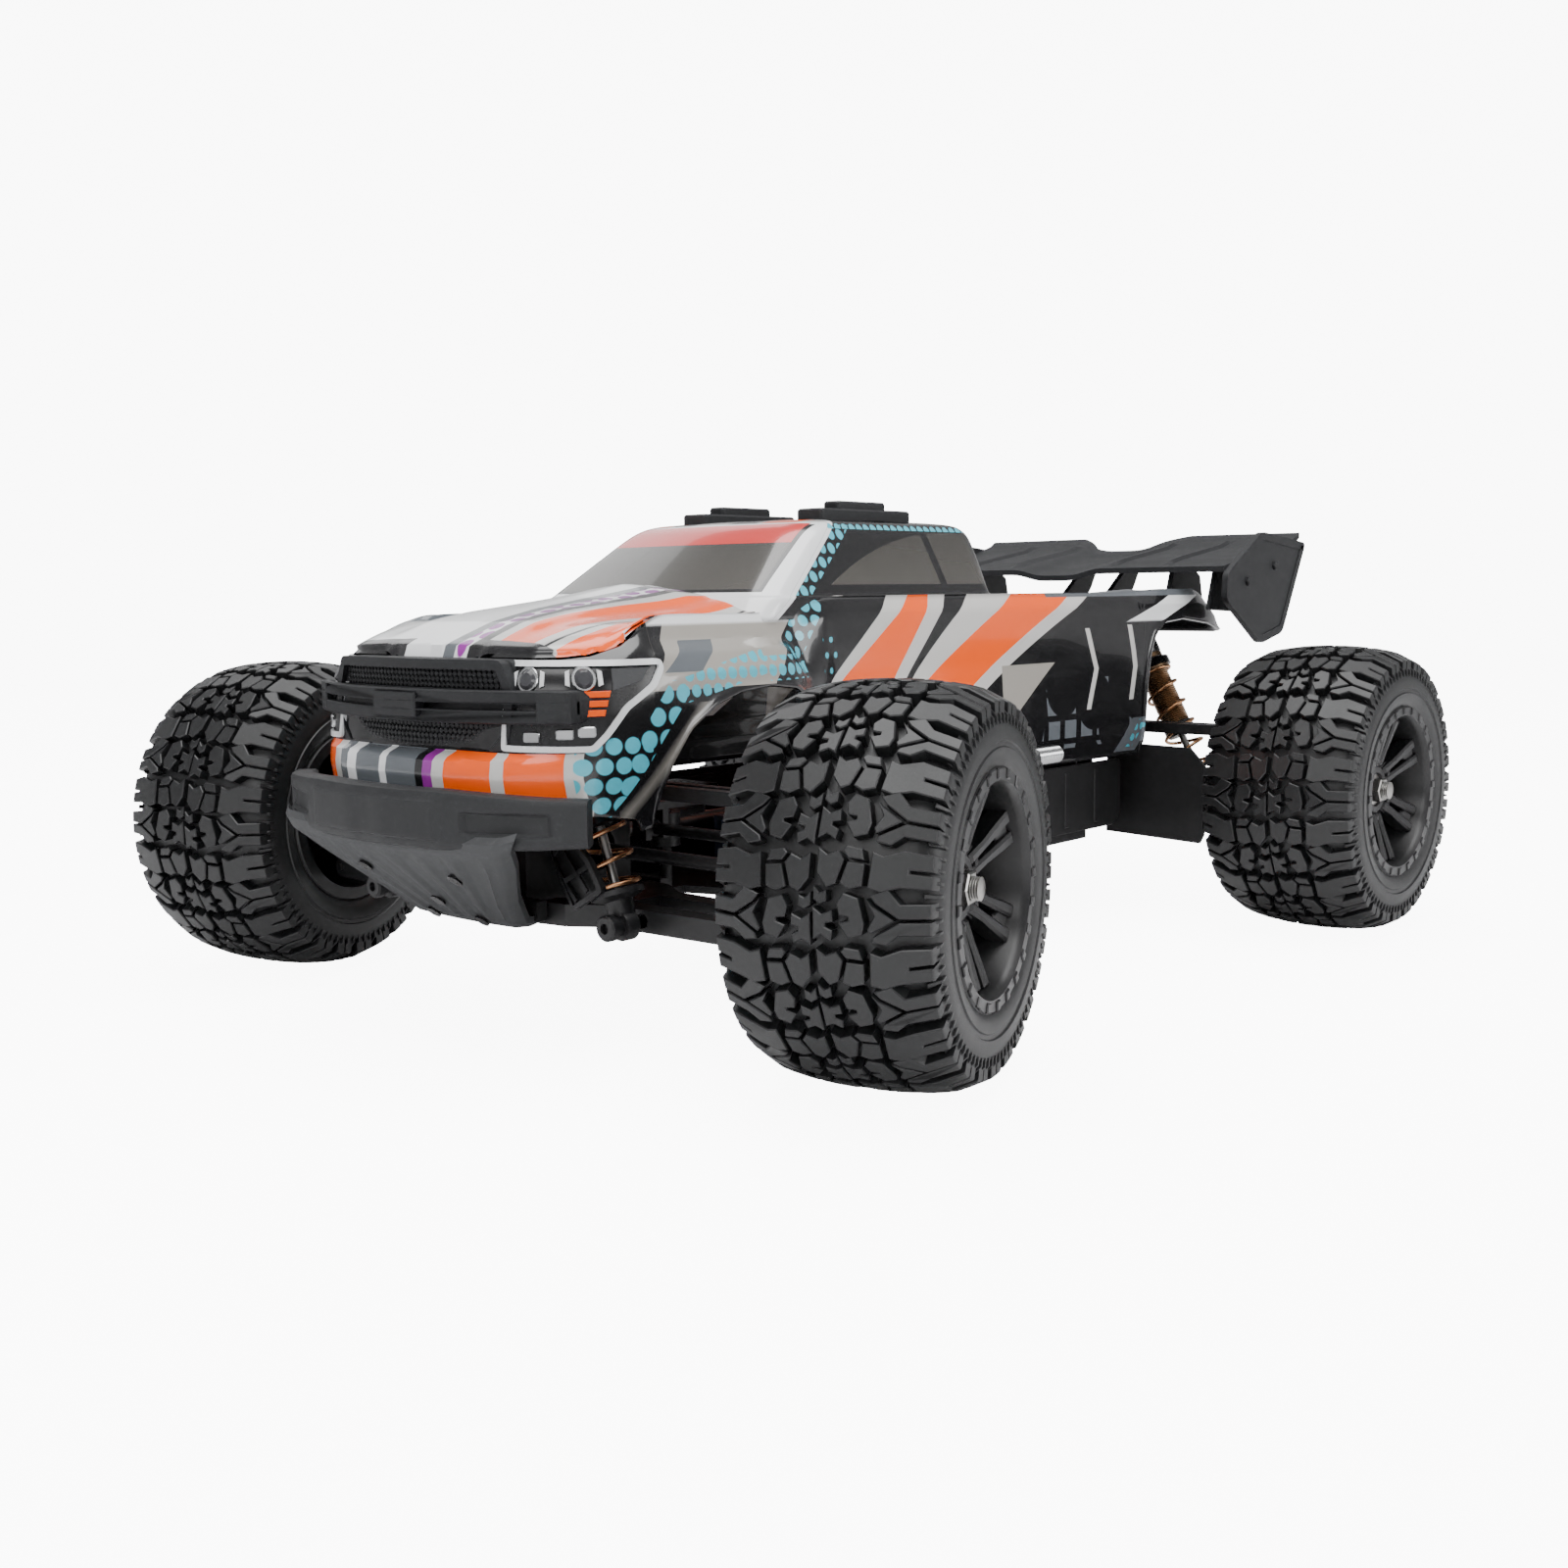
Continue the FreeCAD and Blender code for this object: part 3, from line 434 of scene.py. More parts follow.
class Shape:
    """Vertices and faces of one mesh, gathered from grids, lathes and prisms in millimetres."""

    def __init__(self) -> None:
        """Start with nothing."""
        self.vertices: list[Array] = []
        self.faces: list[list[int]] = []
        self.maps: list[Array] = []
        self.paints: list[int] = []
        self.paint = 0
        self.count = 0

    def add(self, points: Array, faces: Iterable[Sequence[int]], uv: Array | None = None) -> Shape:
        """Add points and faces that count from the first of them.

        Args:
            points: shape (..., 3).
            faces: point numbers of each face.
            uv: UV of each point.

        Returns:
            This shape.
        """
        points = np.asarray(points, float).reshape(-1, 3)
        new = [[index + self.count for index in face] for face in faces]
        self.faces += new
        self.paints += [self.paint] * len(new)
        self.vertices.append(points)
        self.maps.append(np.zeros((len(points), 2)) if uv is None else np.asarray(uv, float).reshape(-1, 2))
        self.count += len(points)
        return self

    def grid(self, points: Array, close_rows: bool = False, close_columns: bool = False,
             flip: bool = False, uv: Array | None = None) -> Shape:
        """Add a surface given on a grid.

        Args:
            points: shape (rows, columns, 3).
            close_rows: join the last row to the first.
            close_columns: join the last column to the first.
            flip: turn the faces over.
            uv: shape (rows, columns, 2).

        Returns:
            This shape.
        """
        rows, columns = points.shape[:2]
        i, j = np.meshgrid(np.arange(rows if close_rows else rows - 1),
                           np.arange(columns if close_columns else columns - 1), indexing="ij")
        k, m = (i + 1) % rows, (j + 1) % columns
        corners = [i * columns + j, k * columns + j, k * columns + m, i * columns + m]
        quads = np.stack(corners, -1).reshape(-1, 4)
        return self.add(points, (quads[:, ::-1] if flip else quads).tolist(), uv)

    def lathe(self, profile: Array, place: Placer, steps: int = 48,
              closed: bool = True) -> Shape:
        """Add a turned surface: a profile of (along, radius) swung round the local X axis.

        Args:
            profile: shape (n, 2), in order round the section.
            place: puts local points in the truck's frame.
            steps: stretches round.
            closed: join the profile's last point to its first.

        Returns:
            This shape.
        """
        profile = np.asarray(profile, float)
        turn = np.arange(steps) * math.tau / steps
        along = np.broadcast_to(profile[None, :, 0], (steps, len(profile)))
        radius = profile[None, :, 1]
        points = np.stack([along, radius * np.cos(turn)[:, None], radius * np.sin(turn)[:, None]], -1)
        return self.grid(place(points), close_rows=True, close_columns=closed)

    def prism(self, outline: Array, place: Placer, low: float, high: float,
              bevel: float = 0.0) -> Shape:
        """Add a prism over a flat outline, its top edge bevelled.

        Args:
            outline: shape (n, 2), anticlockwise seen from the high side.
            place: puts local (u, v, height) points in the truck's frame.
            low: height of the base.
            high: height of the top.
            bevel: width of the chamfer round the top.

        Returns:
            This shape.
        """
        outline = np.asarray(outline, float)
        count = len(outline)
        if bevel > 0:
            rings = [(outline, low), (outline, high - bevel), (inset(outline, bevel), high)]
        else:
            rings = [(outline, low), (outline, high)]
        points = np.concatenate([np.column_stack([ring, np.full(count, height)]) for ring, height in rings])
        faces = [list(range(count))[::-1], [(len(rings) - 1) * count + k for k in range(count)]]
        for ring in range(len(rings) - 1):
            start = ring * count
            faces += [[start + k, start + (k + 1) % count, start + count + (k + 1) % count, start + count + k]
                      for k in range(count)]
        return self.add(place(points), faces)

    def tube(self, path: Array, radius: float, steps: int = 12,
             helper: Sequence[float] = (0.0, 0.0, 1.0)) -> Shape:
        """Add a round tube along a path, closed at both ends.

        The section's two directions at each point are the path's tangent crossed with a fixed helper
        direction, and the tangent crossed with that.

        Args:
            path: shape (n, 3).
            radius: the tube's radius.
            steps: stretches round.
            helper: a direction that the path never runs along.

        Returns:
            This shape.
        """
        path = np.asarray(path, float)
        tangent = np.gradient(path, axis=0)
        tangent /= np.linalg.norm(tangent, axis=1, keepdims=True)
        across = np.cross(tangent, np.asarray(helper, float))
        across /= np.linalg.norm(across, axis=1, keepdims=True)
        other = np.cross(tangent, across)
        turn = np.arange(steps) * math.tau / steps
        ring = np.cos(turn)[None, :, None] * across[:, None] + np.sin(turn)[None, :, None] * other[:, None]
        start = self.count
        self.grid(path[:, None] + radius * ring, close_columns=True, flip=True)
        last = start + (len(path) - 1) * steps
        self.faces.append([start + k for k in range(steps)])
        self.faces.append([last + k for k in range(steps)][::-1])
        self.paints += [self.paint] * 2
        return self

    def mirrored(self) -> Shape:
        """Twin on the other side of the plane x = 0, with its faces turned back out.

        Returns:
            The twin.
        """
        twin = Shape()
        twin.vertices = [points * (-1, 1, 1) for points in self.vertices]
        twin.faces = [face[::-1] for face in self.faces]
        twin.maps = [uv * (-1, 1) for uv in self.maps]
        twin.paints = list(self.paints)
        twin.count = self.count
        return twin

    def join(self, other: Shape) -> Shape:
        """Add another shape.

        Args:
            other: the shape to add.

        Returns:
            This shape.
        """
        self.faces += [[index + self.count for index in face] for face in other.faces]
        self.vertices += other.vertices
        self.maps += other.maps
        self.paints += other.paints
        self.count += other.count
        return self

    def build(self, name: str, smooth: float = 32.0) -> Object:
        """Make the mesh object, smooth except over edges sharper than an angle in degrees.

        Args:
            name: the object's name.
            smooth: edges sharper than this many degrees stay sharp.

        Returns:
            The object.
        """
        mesh = bpy.data.meshes.new(name)
        mesh.from_pydata((np.concatenate(self.vertices) * METRE).tolist(), [], self.faces)
        layer = mesh.uv_layers.new(name="UVMap")
        loops = np.empty(len(mesh.loops), dtype=np.int32)
        mesh.loops.foreach_get("vertex_index", loops)
        layer.uv.foreach_set("vector", np.concatenate(self.maps)[loops].ravel())
        mesh.polygons.foreach_set("material_index", self.paints)
        mesh.update()
        mesh.shade_smooth()
        mesh.set_sharp_from_angle(angle=math.radians(smooth))
        piece = bpy.data.objects.new(name, mesh)
        bpy.context.scene.collection.objects.link(piece)
        return piece


def inset(outline: Array, distance: float) -> Array:
    """Outline drawn in along each corner's bisector, for an anticlockwise outline.

    Args:
        outline: closed outline, shape (n, 2).
        distance: how far to draw in.

    Returns:
        The smaller outline.
    """
    before = outline - np.roll(outline, 1, axis=0)
    after = np.roll(outline, -1, axis=0) - outline
    normals = [np.column_stack([-side[:, 1], side[:, 0]])
               / (np.linalg.norm(side, axis=1, keepdims=True) + 1e-9) for side in (before, after)]
    middle = normals[0] + normals[1]
    scale = np.maximum(0.4, (middle * normals[0]).sum(axis=1, keepdims=True))
    return outline + middle / scale * distance


def keep(piece: Object, body: str, slot: str, *finishes: Material,
         replaces: Sequence[str] = ()) -> Object:
    """Dress a piece, put it on its body and hide the CAD nodes that it stands for.

    Args:
        piece: the object.
        body: the body that it rides.
        slot: not used.
        finishes: its materials, in slot order.
        replaces: CAD nodes that it stands for.

    Returns:
        The piece.
    """
    indices = np.empty(len(piece.data.polygons), dtype=np.int32)
    piece.data.polygons.foreach_get("material_index", indices)
    piece.data.materials.clear()
    for finish in finishes:
        piece.data.materials.append(finish)
    piece.data.polygons.foreach_set("material_index", indices)
    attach(piece, body)
    if replaces:
        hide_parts(*replaces)
    LOG.info("%s rides on %s", piece.name, body)
    return piece


def modify(piece: Object, kind: str, **settings: object) -> None:
    """Add a modifier with its settings.

    Args:
        piece: the object.
        kind: the modifier's type.
        settings: its properties.
    """
    modifier = piece.modifiers.new(kind.title(), kind)
    for key, value in settings.items():
        setattr(modifier, key, value)


# ---------------- wheels
@dataclass(frozen=True)
class Wheel:
    """Tyre, rim and nut, drawn for the left side and mirrored for the right."""

    end: End
    side: Side
    kingpin_x: float = 128.75
    offset: float = 31.5
    steer: float = 16.0
    tread_radius: float = 65.9
    shoulder: float = 33.0
    pitches: int = 14
    shoulder_ribs: int = 96
    teeth: int = 24
    spokes: int = 6
    disc: float = 15.5
    dish: float = 0.32
    stud: float = 3.95

    @property
    def name(self) -> str:
        """Start of the names of its pieces."""
        return f"{self.end.value}_{self.side.word}"

    def place(self, points: Array) -> Array:
        """Put (out along the axle, forward, up) points in the truck's frame, on the left side.

        Args:
            points: local points, shape (..., 3).

        Returns:
            Points in the truck's frame.
        """
        steer = math.radians(self.steer) * self.side.value if self.end is End.FRONT else 0.0
        kingpin = np.array([self.kingpin_x, self.end.axle, AXLE_HEIGHT])
        turned = turn_about(np.asarray(points, float) + (self.offset, 0, 0), (0, 0, 1), steer)
        return turned + kingpin

    def on_tread(self, points: Array) -> Array:
        """Wrap (across, along the tread, height) points round the tyre.

        The tread's radius falls off with the distance a from the middle by 2.8 (a/30)^2 + 2.6 (a/34)^8.

        Args:
            points: local points, shape (..., 3).

        Returns:
            Points in the truck's frame.
        """
        across, along, height = np.moveaxis(np.asarray(points, float), -1, 0)
        radius = self.tread_radius - 2.8 * (across / 30) ** 2 - 2.6 * (across / 34) ** 8 + height
        turn = -along / AXLE_HEIGHT
        return self.place(np.stack([across, radius * np.cos(turn), radius * np.sin(turn)], -1))

    def on_shoulder(self, points: Array) -> Array:
        """Wrap ribs round the shoulder, whose radius drops by 1.1 for each unit out from it.

        Args:
            points: local points, shape (..., 3).

        Returns:
            Points in the truck's frame.
        """
        across, along, height = np.moveaxis(np.asarray(points, float), -1, 0)
        radius = self.tread_radius + height - 1.1 * (np.abs(across) - self.shoulder)
        turn = -along / AXLE_HEIGHT
        return self.place(np.stack([across, radius * np.cos(turn), radius * np.sin(turn)], -1))

    def on_disc(self, turn: float, base: float, rise: float = 0.0) -> Placer:
        """Make a placer for (radial, sideways, height) points on the rim's face at an angle.

        The face rises outward by the given rise for each unit of radius past 10.

        Args:
            turn: angle of the placer round the axle.
            base: distance out along the axle.
            rise: slope of the face.

        Returns:
            The placer.
        """
        def wrap(points: Array) -> Array:
            """Turn the points round the axle and lift them from the base.

            Args:
                points: local points, shape (..., 3).

            Returns:
                Points in the truck's frame.
            """
            radial, sideways, height = np.moveaxis(np.asarray(points, float), -1, 0)
            forward = radial * math.cos(turn) - sideways * math.sin(turn)
            up = radial * math.sin(turn) + sideways * math.cos(turn)
            out = base + rise * np.clip(radial - 10, 0, None) + height
            return self.place(np.stack([out, forward, up], -1))
        return wrap

    def tyre(self) -> Shape:
        """Carcass with two alternating rows of blocks and ribs on its shoulders.

        Returns:
            The tyre.
        """
        half = np.array([(0, 61.3), (12, 60.9), (22, 59.8), (28, 58.4), (32.6, 56.2), (34.9, 52.8),
                         (35.4, 49.5),
                         (35.5, 47), (34.9, 46.6), (34.9, 45.2), (35.4, 44.8), (35.0, 41.5), (33.6, 38.4),
                         (31.4, 36.6)])
        shape = Shape().lathe(np.concatenate([half[:0:-1] * (-1, 1), half]), self.place, 128)
        for step in range(self.pitches):
            self.add_pitch(shape, step)
        rib = np.array([(31.8, -0.9), (35.3, -0.5), (35.3, 0.5), (31.8, 0.9)])
        spacing = math.tau * AXLE_HEIGHT / self.shoulder_ribs
        for step in range(self.shoulder_ribs):
            for flip in (1, -1):
                points = (rib * (flip, 1))[::flip] + (0, step * spacing)
                shape.prism(points, self.on_shoulder, -11.2, -8.4, 0.2)
        return shape

    def add_pitch(self, shape: Shape, step: int) -> None:
        """Add one pitch of the tread: each block and its twin on the other half, a little out of step.

        Args:
            shape: the tyre.
            step: which pitch it is.
        """
        arc = math.tau * AXLE_HEIGHT / self.pitches
        for outline, row, top in TREAD:
            for flip in (1, -1):
                points = np.asarray(outline, float) * (flip, 1)
                points = inset(points[::-1] if flip < 0 else points, 0.12)
                shift = (step + 0.5 * row + 0.03 * flip) * arc
                shape.prism(points + (0, shift), self.on_tread, -5.6, top, 0.35)

    def rim(self) -> Shape:
        """Deep barrel, notched outer ring, pairs of spokes, lug bolts and hub.

        Returns:
            The rim.
        """
        barrel = [(-33, 31.4), (-33, 36.2), (-31, 38.2), (-30, 36.0), (30.2, 36.0), (31.2, 38.9),
                  (33.8, 38.9),
                  (34.6, 38.2), (34.6, 34.6), (33.4, 33.9), (31.4, 33.0), (17, 32.2), (14, 31.0), (9, 30.8),
                  (9, 31.4)]
        shape = Shape().lathe(np.array(barrel), self.place, 96)
        tooth = np.array([(35.2, -1.5), (38.5, -1.8), (38.5, 1.8), (35.2, 1.5)])
        for step in range(self.teeth):
            shape.prism(tooth, self.on_disc(step * math.tau / self.teeth, self.shoulder), 0, 2.2, 0.4)
        for step in range(self.spokes):
            self.add_spoke(shape, (step + 0.5) * math.tau / self.spokes)
        hub = ((12, 7.8), (12, 11.0), (22.0, 11.4), (22.8, 10.4), (22.8, 7.8))
        web = ((8, 8), (8, 31.6), (10, 31.6), (10, 8))
        bore = ((4, 4.2), (4, 12), (15, 12), (15, 4.2))
        for profile, steps in ((hub, 36), (web, 48), (bore, 36)):
            shape.lathe(np.array(profile), self.place, steps)
        return shape

    def add_spoke(self, shape: Shape, turn: float) -> None:
        """Add one pair of spokes with its pads at the hub and the ring, and a lug bolt.

        Args:
            shape: the rim.
            turn: angle of the pair round the axle.
        """
        spoke = np.array([(10.5, 0.55), (30.0, 1.9), (32.2, 2.0), (32.2, 6.6), (27, 6.1), (18, 4.7),
                          (10.5, 4.6)])
        pad = np.array([(9, -5.2), (15.2, -5.0), (17.5, -1.2), (17.5, 1.2), (15.2, 5.0), (9, 5.2)])
        outer_pad = np.array([(26.5, -2.4), (32.2, -3.0), (32.2, 3.0), (26.5, 2.4), (24.8, 0)])
        face = self.on_disc(turn, self.disc, self.dish)
        for outline in (spoke, (spoke * (1, -1))[::-1]):
            shape.prism(outline, face, 0, 7.6, 0.9)
        shape.prism(pad, self.on_disc(turn, self.disc, 0.2), 0, 6.4, 0.8)
        shape.prism(outer_pad, face, 0, 5.8, 0.6)
        shape.prism(circle(1.5, 6) + (13.2, 0), self.on_disc(turn, 21.6), 0, 2.2, 0.3)

    def nut(self) -> Shape:
        """Threaded stud with its flanged hexagonal nut.

        Returns:
            The nut.
        """
        wave = np.arange(22)
        thread = np.column_stack([20.2 + wave * 0.42, np.where(wave % 2, self.stud, 3.4)])
        stud = np.concatenate([[(12, 0.05), (12, 3.9)], thread, [(29.5, 2.7), (29.5, 0.05)]])
        flange = np.array([(20.6, 3.9), (20.6, 7.6), (21.6, 7.6), (22.0, 6.8), (22.0, 3.9)])
        shape = Shape().lathe(stud, self.place, 24, closed=False)
        shape.prism(circle(5.9, 6), self.on_disc(0, 21.4), 0, 4.8, 0.5)
        return shape.lathe(flange, self.place, 30)

    def build(self, finishes: Finishes) -> None:
        """Make the wheel's pieces.

        Args:
            finishes: the truck's materials.
        """
        parts = (("tyre", self.tyre(), "tyre_rubber", finishes.rubber),
                 ("rim", self.rim(), "rim_plastic", finishes.rim),
                 ("nut", self.nut(), "shaft_steel", finishes.steel))
        for label, shape, slot, finish in parts:
            shape = shape if self.side is Side.LEFT else shape.mirrored()
            piece = shape.build(f"{self.name}_{label}_look")
            nodes = [f"{self.end.value}_{label}_{self.side.word}"] if label != "nut" else []
            keep(piece, f"{self.end.value}_wheel_{self.side.word}", slot, finish, replaces=nodes)


def circle(radius: float, steps: int, start: float = 0.0) -> Array:
    """Regular polygon, anticlockwise."""
    turn = start + np.arange(steps) * math.tau / steps
    return radius * np.column_stack([np.cos(turn), np.sin(turn)])


# Blocks of the tread's half: outline in (across, along), row and height. The three after the third are one
# lug with a forked slit.
TREAD = (
    (((0.3, -6.8), (3.0, -5.2), (6.0, -6.8), (6.6, -3.5), (4.4, -2.5), (4.4, -1.6), (6.8, -1.1), (6.4, 2.6),
      (3.2, 1.3), (0.3, 3.3)), 0, 0.0),
    (((0.3, 5.2), (2.4, 3.7), (4.6, 4.8), (4.4, 8.3), (2.4, 7.4), (0.3, 9.4)), 0, -0.3),
    (((8.2, -1.2), (11.2, -5.8), (15.4, -4.6), (16.2, -1.2), (14.2, 6.4), (9.6, 7.8), (7.6, 4.6), (8.4, 1.0),
      (11.2, 0.6), (11.2, -0.2)), 0, 0.0),
    (((17.8, -6.6), (22.4, -7.4), (26.0, -4.4), (34.6, -4.8), (34.6, -0.2), (26.0, -0.2), (18.6, -4.6)), 0,
     0.0),
    (((34.6, 0.5), (34.6, 5.6), (26.4, 5.2), (22.6, 9.6), (17.2, 7.4), (19.2, 4.9), (26.0, 0.5)), 0, 0.0),
    (((17.6, -4.2), (18.2, -4.0), (25.0, 0.15), (18.6, 4.5), (16.6, 6.4), (18.9, 1.4), (16.8, -2.6)), 0, 0.0),
    (((1.1, -1.8), (4.4, -6.0), (7.3, -4.6), (9.4, 2.4), (7.4, 5.2), (4.0, 3.8), (1.1, 5.8)), 1, 0.0),
    (((8.2, -4.6), (11.4, -6.2), (15.2, -5.0), (15.6, 1.6), (10.2, 2.0)), 1, 0.0),
    (((10.2, 2.9), (15.4, 2.5), (14.4, 6.0), (9.8, 6.6), (8.5, 5.2)), 1, 0.0),
    (((16.6, -5.4), (20.6, -6.6), (26.0, -5.0), (34.6, -5.2), (34.6, -0.5), (28.4, -0.3), (28.4, 0.4),
      (34.6, 0.5),
      (34.6, 6.0), (26.6, 6.4), (20.8, 4.2), (17.4, 5.4)), 1, 0.0),
)


# ---------------- shell
PLAN = ((0, -247.5, 0), (14, -247.4, 0), (28, -246.6, 0), (42, -243.6, 1), (55, -238.4, 2), (66, -229.5, 3),
        (73, -219, 4), (77, -207, 5), (79, -195, 6), (80, -180, 7), (80, -150, 7), (79.3, -128, 7),
        (76.5, -112, 8), (73.3, -99, 9), (72, -85, 10), (71.6, -40, 10), (71.8, 20, 10), (72.6, 62, 10),
        (74.5, 96, 11), (77, 130, 12), (78.6, 158, 12), (78.6, 190, 12), (77.4, 208, 13), (73, 220, 14),
        (60, 224, 15), (30, 224.6, 15), (0, 224.6, 15))
SECTIONS = (
    ((4.5, 86), (1, 92), (0, 99), (1.0, 104.5), (7, 107), (10, 118), (12, 128), (14, 134), (17.5, 138.4)),
    ((4.5, 85), (1, 92), (0, 99), (0.8, 104.5), (5, 107), (7, 118), (9, 128), (11, 134), (14.5, 138.4)),
    ((4.2, 85), (1, 92), (0, 99), (0.4, 104.5), (2.2, 107), (3, 118), (4.6, 128), (7.2, 134), (11, 138.4)),
    ((4, 86), (1, 92), (0, 99), (0.2, 104.5), (0.8, 107), (1, 118), (2.4, 128), (5, 134), (9.6, 138.6)),
    ((3.2, 85.5), (1, 92), (0, 99), (0, 104.5), (0.2, 108), (0.4, 118), (1.5, 129), (4, 135), (9, 139.6)),
    ((2.6, 84), (1, 90), (0, 99), (0, 104.5), (0, 110), (0, 120), (1, 131), (3.6, 138), (10, 143)),
    ((2, 79), (1, 90), (0, 99), (0, 106), (0, 117), (0.4, 129), (3, 137.5), (8, 142.5), (13, 148.6)),
    ((2, 79), (1, 90), (0, 99), (0, 108), (-0.4, 122), (0.8, 132.5), (5, 139.5), (12, 143), (16.5, 152)),
    ((2.5, 79), (0.6, 90), (0, 99), (0.3, 106), (0.6, 116), (2.2, 126), (6.4, 132), (9.4, 143),
     (12.5, 154.2)),
    ((2.6, 79), (0.2, 88), (0, 98), (0.8, 106), (1.4, 116), (2.2, 127), (2.6, 139), (3.4, 150), (8, 156.4)),
    ((2.6, 79), (0.2, 88), (0, 98), (1.0, 106), (1.8, 116), (2.4, 127), (2.2, 139), (2.4, 151.5), (6, 157.6)),
    ((2.4, 79), (0.4, 88), (0, 98), (0.2, 106), (0.4, 116), (0.8, 127), (1.2, 139), (2.2, 150.5), (6, 157.4)),
    ((2.4, 79), (0.8, 88), (0, 98), (0, 108), (0, 118), (0, 130), (0.6, 141), (2.4, 151.4), (7, 158.8)),
    ((2.4, 79), (0.8, 88), (0, 98), (0, 108), (0, 118), (0, 130), (1.2, 139.4), (2.6, 146.5), (7, 152.4)),
    ((2, 79), (0.8, 88), (0, 98), (0, 108), (0, 118), (0, 130), (1.5, 136), (3.2, 141), (7, 146.8)),
    ((2, 79), (0.8, 88), (0, 98), (0, 108), (0, 118), (0, 130), (1.5, 136), (3.2, 141), (6.5, 146.4)),
)
FRONT_ARCH = ((-205, 79), (-199.5, 80), (-198.2, 90), (-193.5, 100.5), (-184, 113), (-171, 121.2),
              (-158, 125),
              (-142, 126.3), (-127, 124.6), (-116, 118.6), (-106, 108.5), (-98, 95), (-94, 84), (-92.5, 79))
REAR_ARCH = ((132.4, 79), (133, 92), (134, 110), (136.8, 126), (142.5, 137), (152, 143), (170, 144.4),
             (196, 141.6), (212, 138), (222, 137.4))


class ShellForm:
    """Outside of the painted shell's left half, from which everything on it is placed.

    The wall follows the plan outline. At each place on it the wall is drawn in by an amount that depends on
    the height, read from the two nearest sections. The arc length round the outline is the parameter u.
    """

    def __init__(self) -> None:
        """Sample the outline, and the sections along it."""
        smooth = catmull(np.array(PLAN, float), 12)
        self.outline = smooth[:, :2]
        steps = np.linalg.norm(np.diff(self.outline, axis=0), axis=1)
        self.reach = np.concatenate([[0.0], np.cumsum(steps)])
        which = np.clip(smooth[:, 2], 0, len(SECTIONS) - 1)
        table = np.array(SECTIONS, float)
        low = np.floor(which).astype(int)
        high = np.minimum(low + 1, len(SECTIONS) - 1)
        share = (which - low)[:, None, None]
        self.sections = table[low] * (1 - share) + table[high] * share

    def at(self, u: Array) -> tuple[Array, Array, Array]:
        """Outline point, outward normal and section at places on the outline.

        Args:
            u: arc lengths round the outline.

        Returns:
            Points, normals and sections.
        """
        u = np.asarray(u, float)
        point = np.stack([np.interp(u, self.reach, self.outline[:, axis]) for axis in range(2)], -1)
        ahead = np.stack([np.interp(u + 1.2, self.reach, self.outline[:, axis]) for axis in range(2)], -1)
        behind = np.stack([np.interp(u - 1.2, self.reach, self.outline[:, axis]) for axis in range(2)], -1)
        tangent = ahead - behind
        tangent /= np.linalg.norm(tangent, axis=-1, keepdims=True) + 1e-9
        normal = np.stack([tangent[..., 1], -tangent[..., 0]], -1)
        place = np.interp(u, self.reach, np.arange(len(self.reach)))
        low = np.floor(place).astype(int).clip(0, len(self.reach) - 2)
        share = (place - low)[..., None, None]
        return point, normal, self.sections[low] * (1 - share) + self.sections[low + 1] * share

    def u_at_y(self, y: float) -> float:
        """Arc length where the outline's side passes a y."""
        return float(np.interp(y, self.outline[:, 1] + np.arange(len(self.outline)) * 1e-6, self.reach))

    def u_at_x(self, x: float) -> float:
        """Arc length where the outline's front passes an x."""
        top = int(np.argmax(self.outline[:, 0] >= 79))
        return float(np.interp(x, self.outline[:top, 0], self.reach[:top]))

    def wall(self, u: Array, z: Array, lift: Array | float = 0.0) -> Array:
        """Points on the wall at arc lengths and heights, lifted off it.

        Args:
            u: arc lengths round the outline.
            z: heights.
            lift: distances off the wall.

        Returns:
            Points, shape of the inputs plus (3,).
        """
        u, z, lift = np.broadcast_arrays(np.asarray(u, float), np.asarray(z, float), np.asarray(lift, float))
        flat_u, flat_z, flat_lift = u.ravel(), z.ravel(), lift.ravel()
        point, normal, section = self.at(flat_u)
        above = (section[:, :, 1] <= flat_z[:, None]).sum(axis=1).clip(1, section.shape[1] - 1)
        rows = np.arange(len(flat_u))
        low, high = section[rows, above - 1], section[rows, above]
        share = ((flat_z - low[:, 1]) / (high[:, 1] - low[:, 1])).clip(-0.3, 1.0)
        drawn = low[:, 0] * (1 - share) + high[:, 0] * share
        flat = point + normal * (flat_lift - drawn)[:, None]
        return np.column_stack([flat, flat_z]).reshape(u.shape + (3,))

    def edge(self, u: Array) -> Array:
        """Height of the wall's top edge."""
        return self.at(u)[2][..., -1, 1]

    def hem(self, u: Array) -> Array:
        """Height of the wall's bottom edge, which climbs over the wheel arches.

        Args:
            u: arc lengths round the outline.

        Returns:
            Heights.
        """
        point, _, section = self.at(u)
        height = section[..., 0, 1].copy()
        side = point[..., 1]
        for arch in (FRONT_ARCH, REAR_ARCH):
            table = np.array(arch)
            inside = (side > table[0, 0]) & (side < table[-1, 0] + 3)
            height = np.where(inside, np.interp(side, table[:, 0], table[:, 1]), height)
        return np.where(side >= 222, 137.0, height)


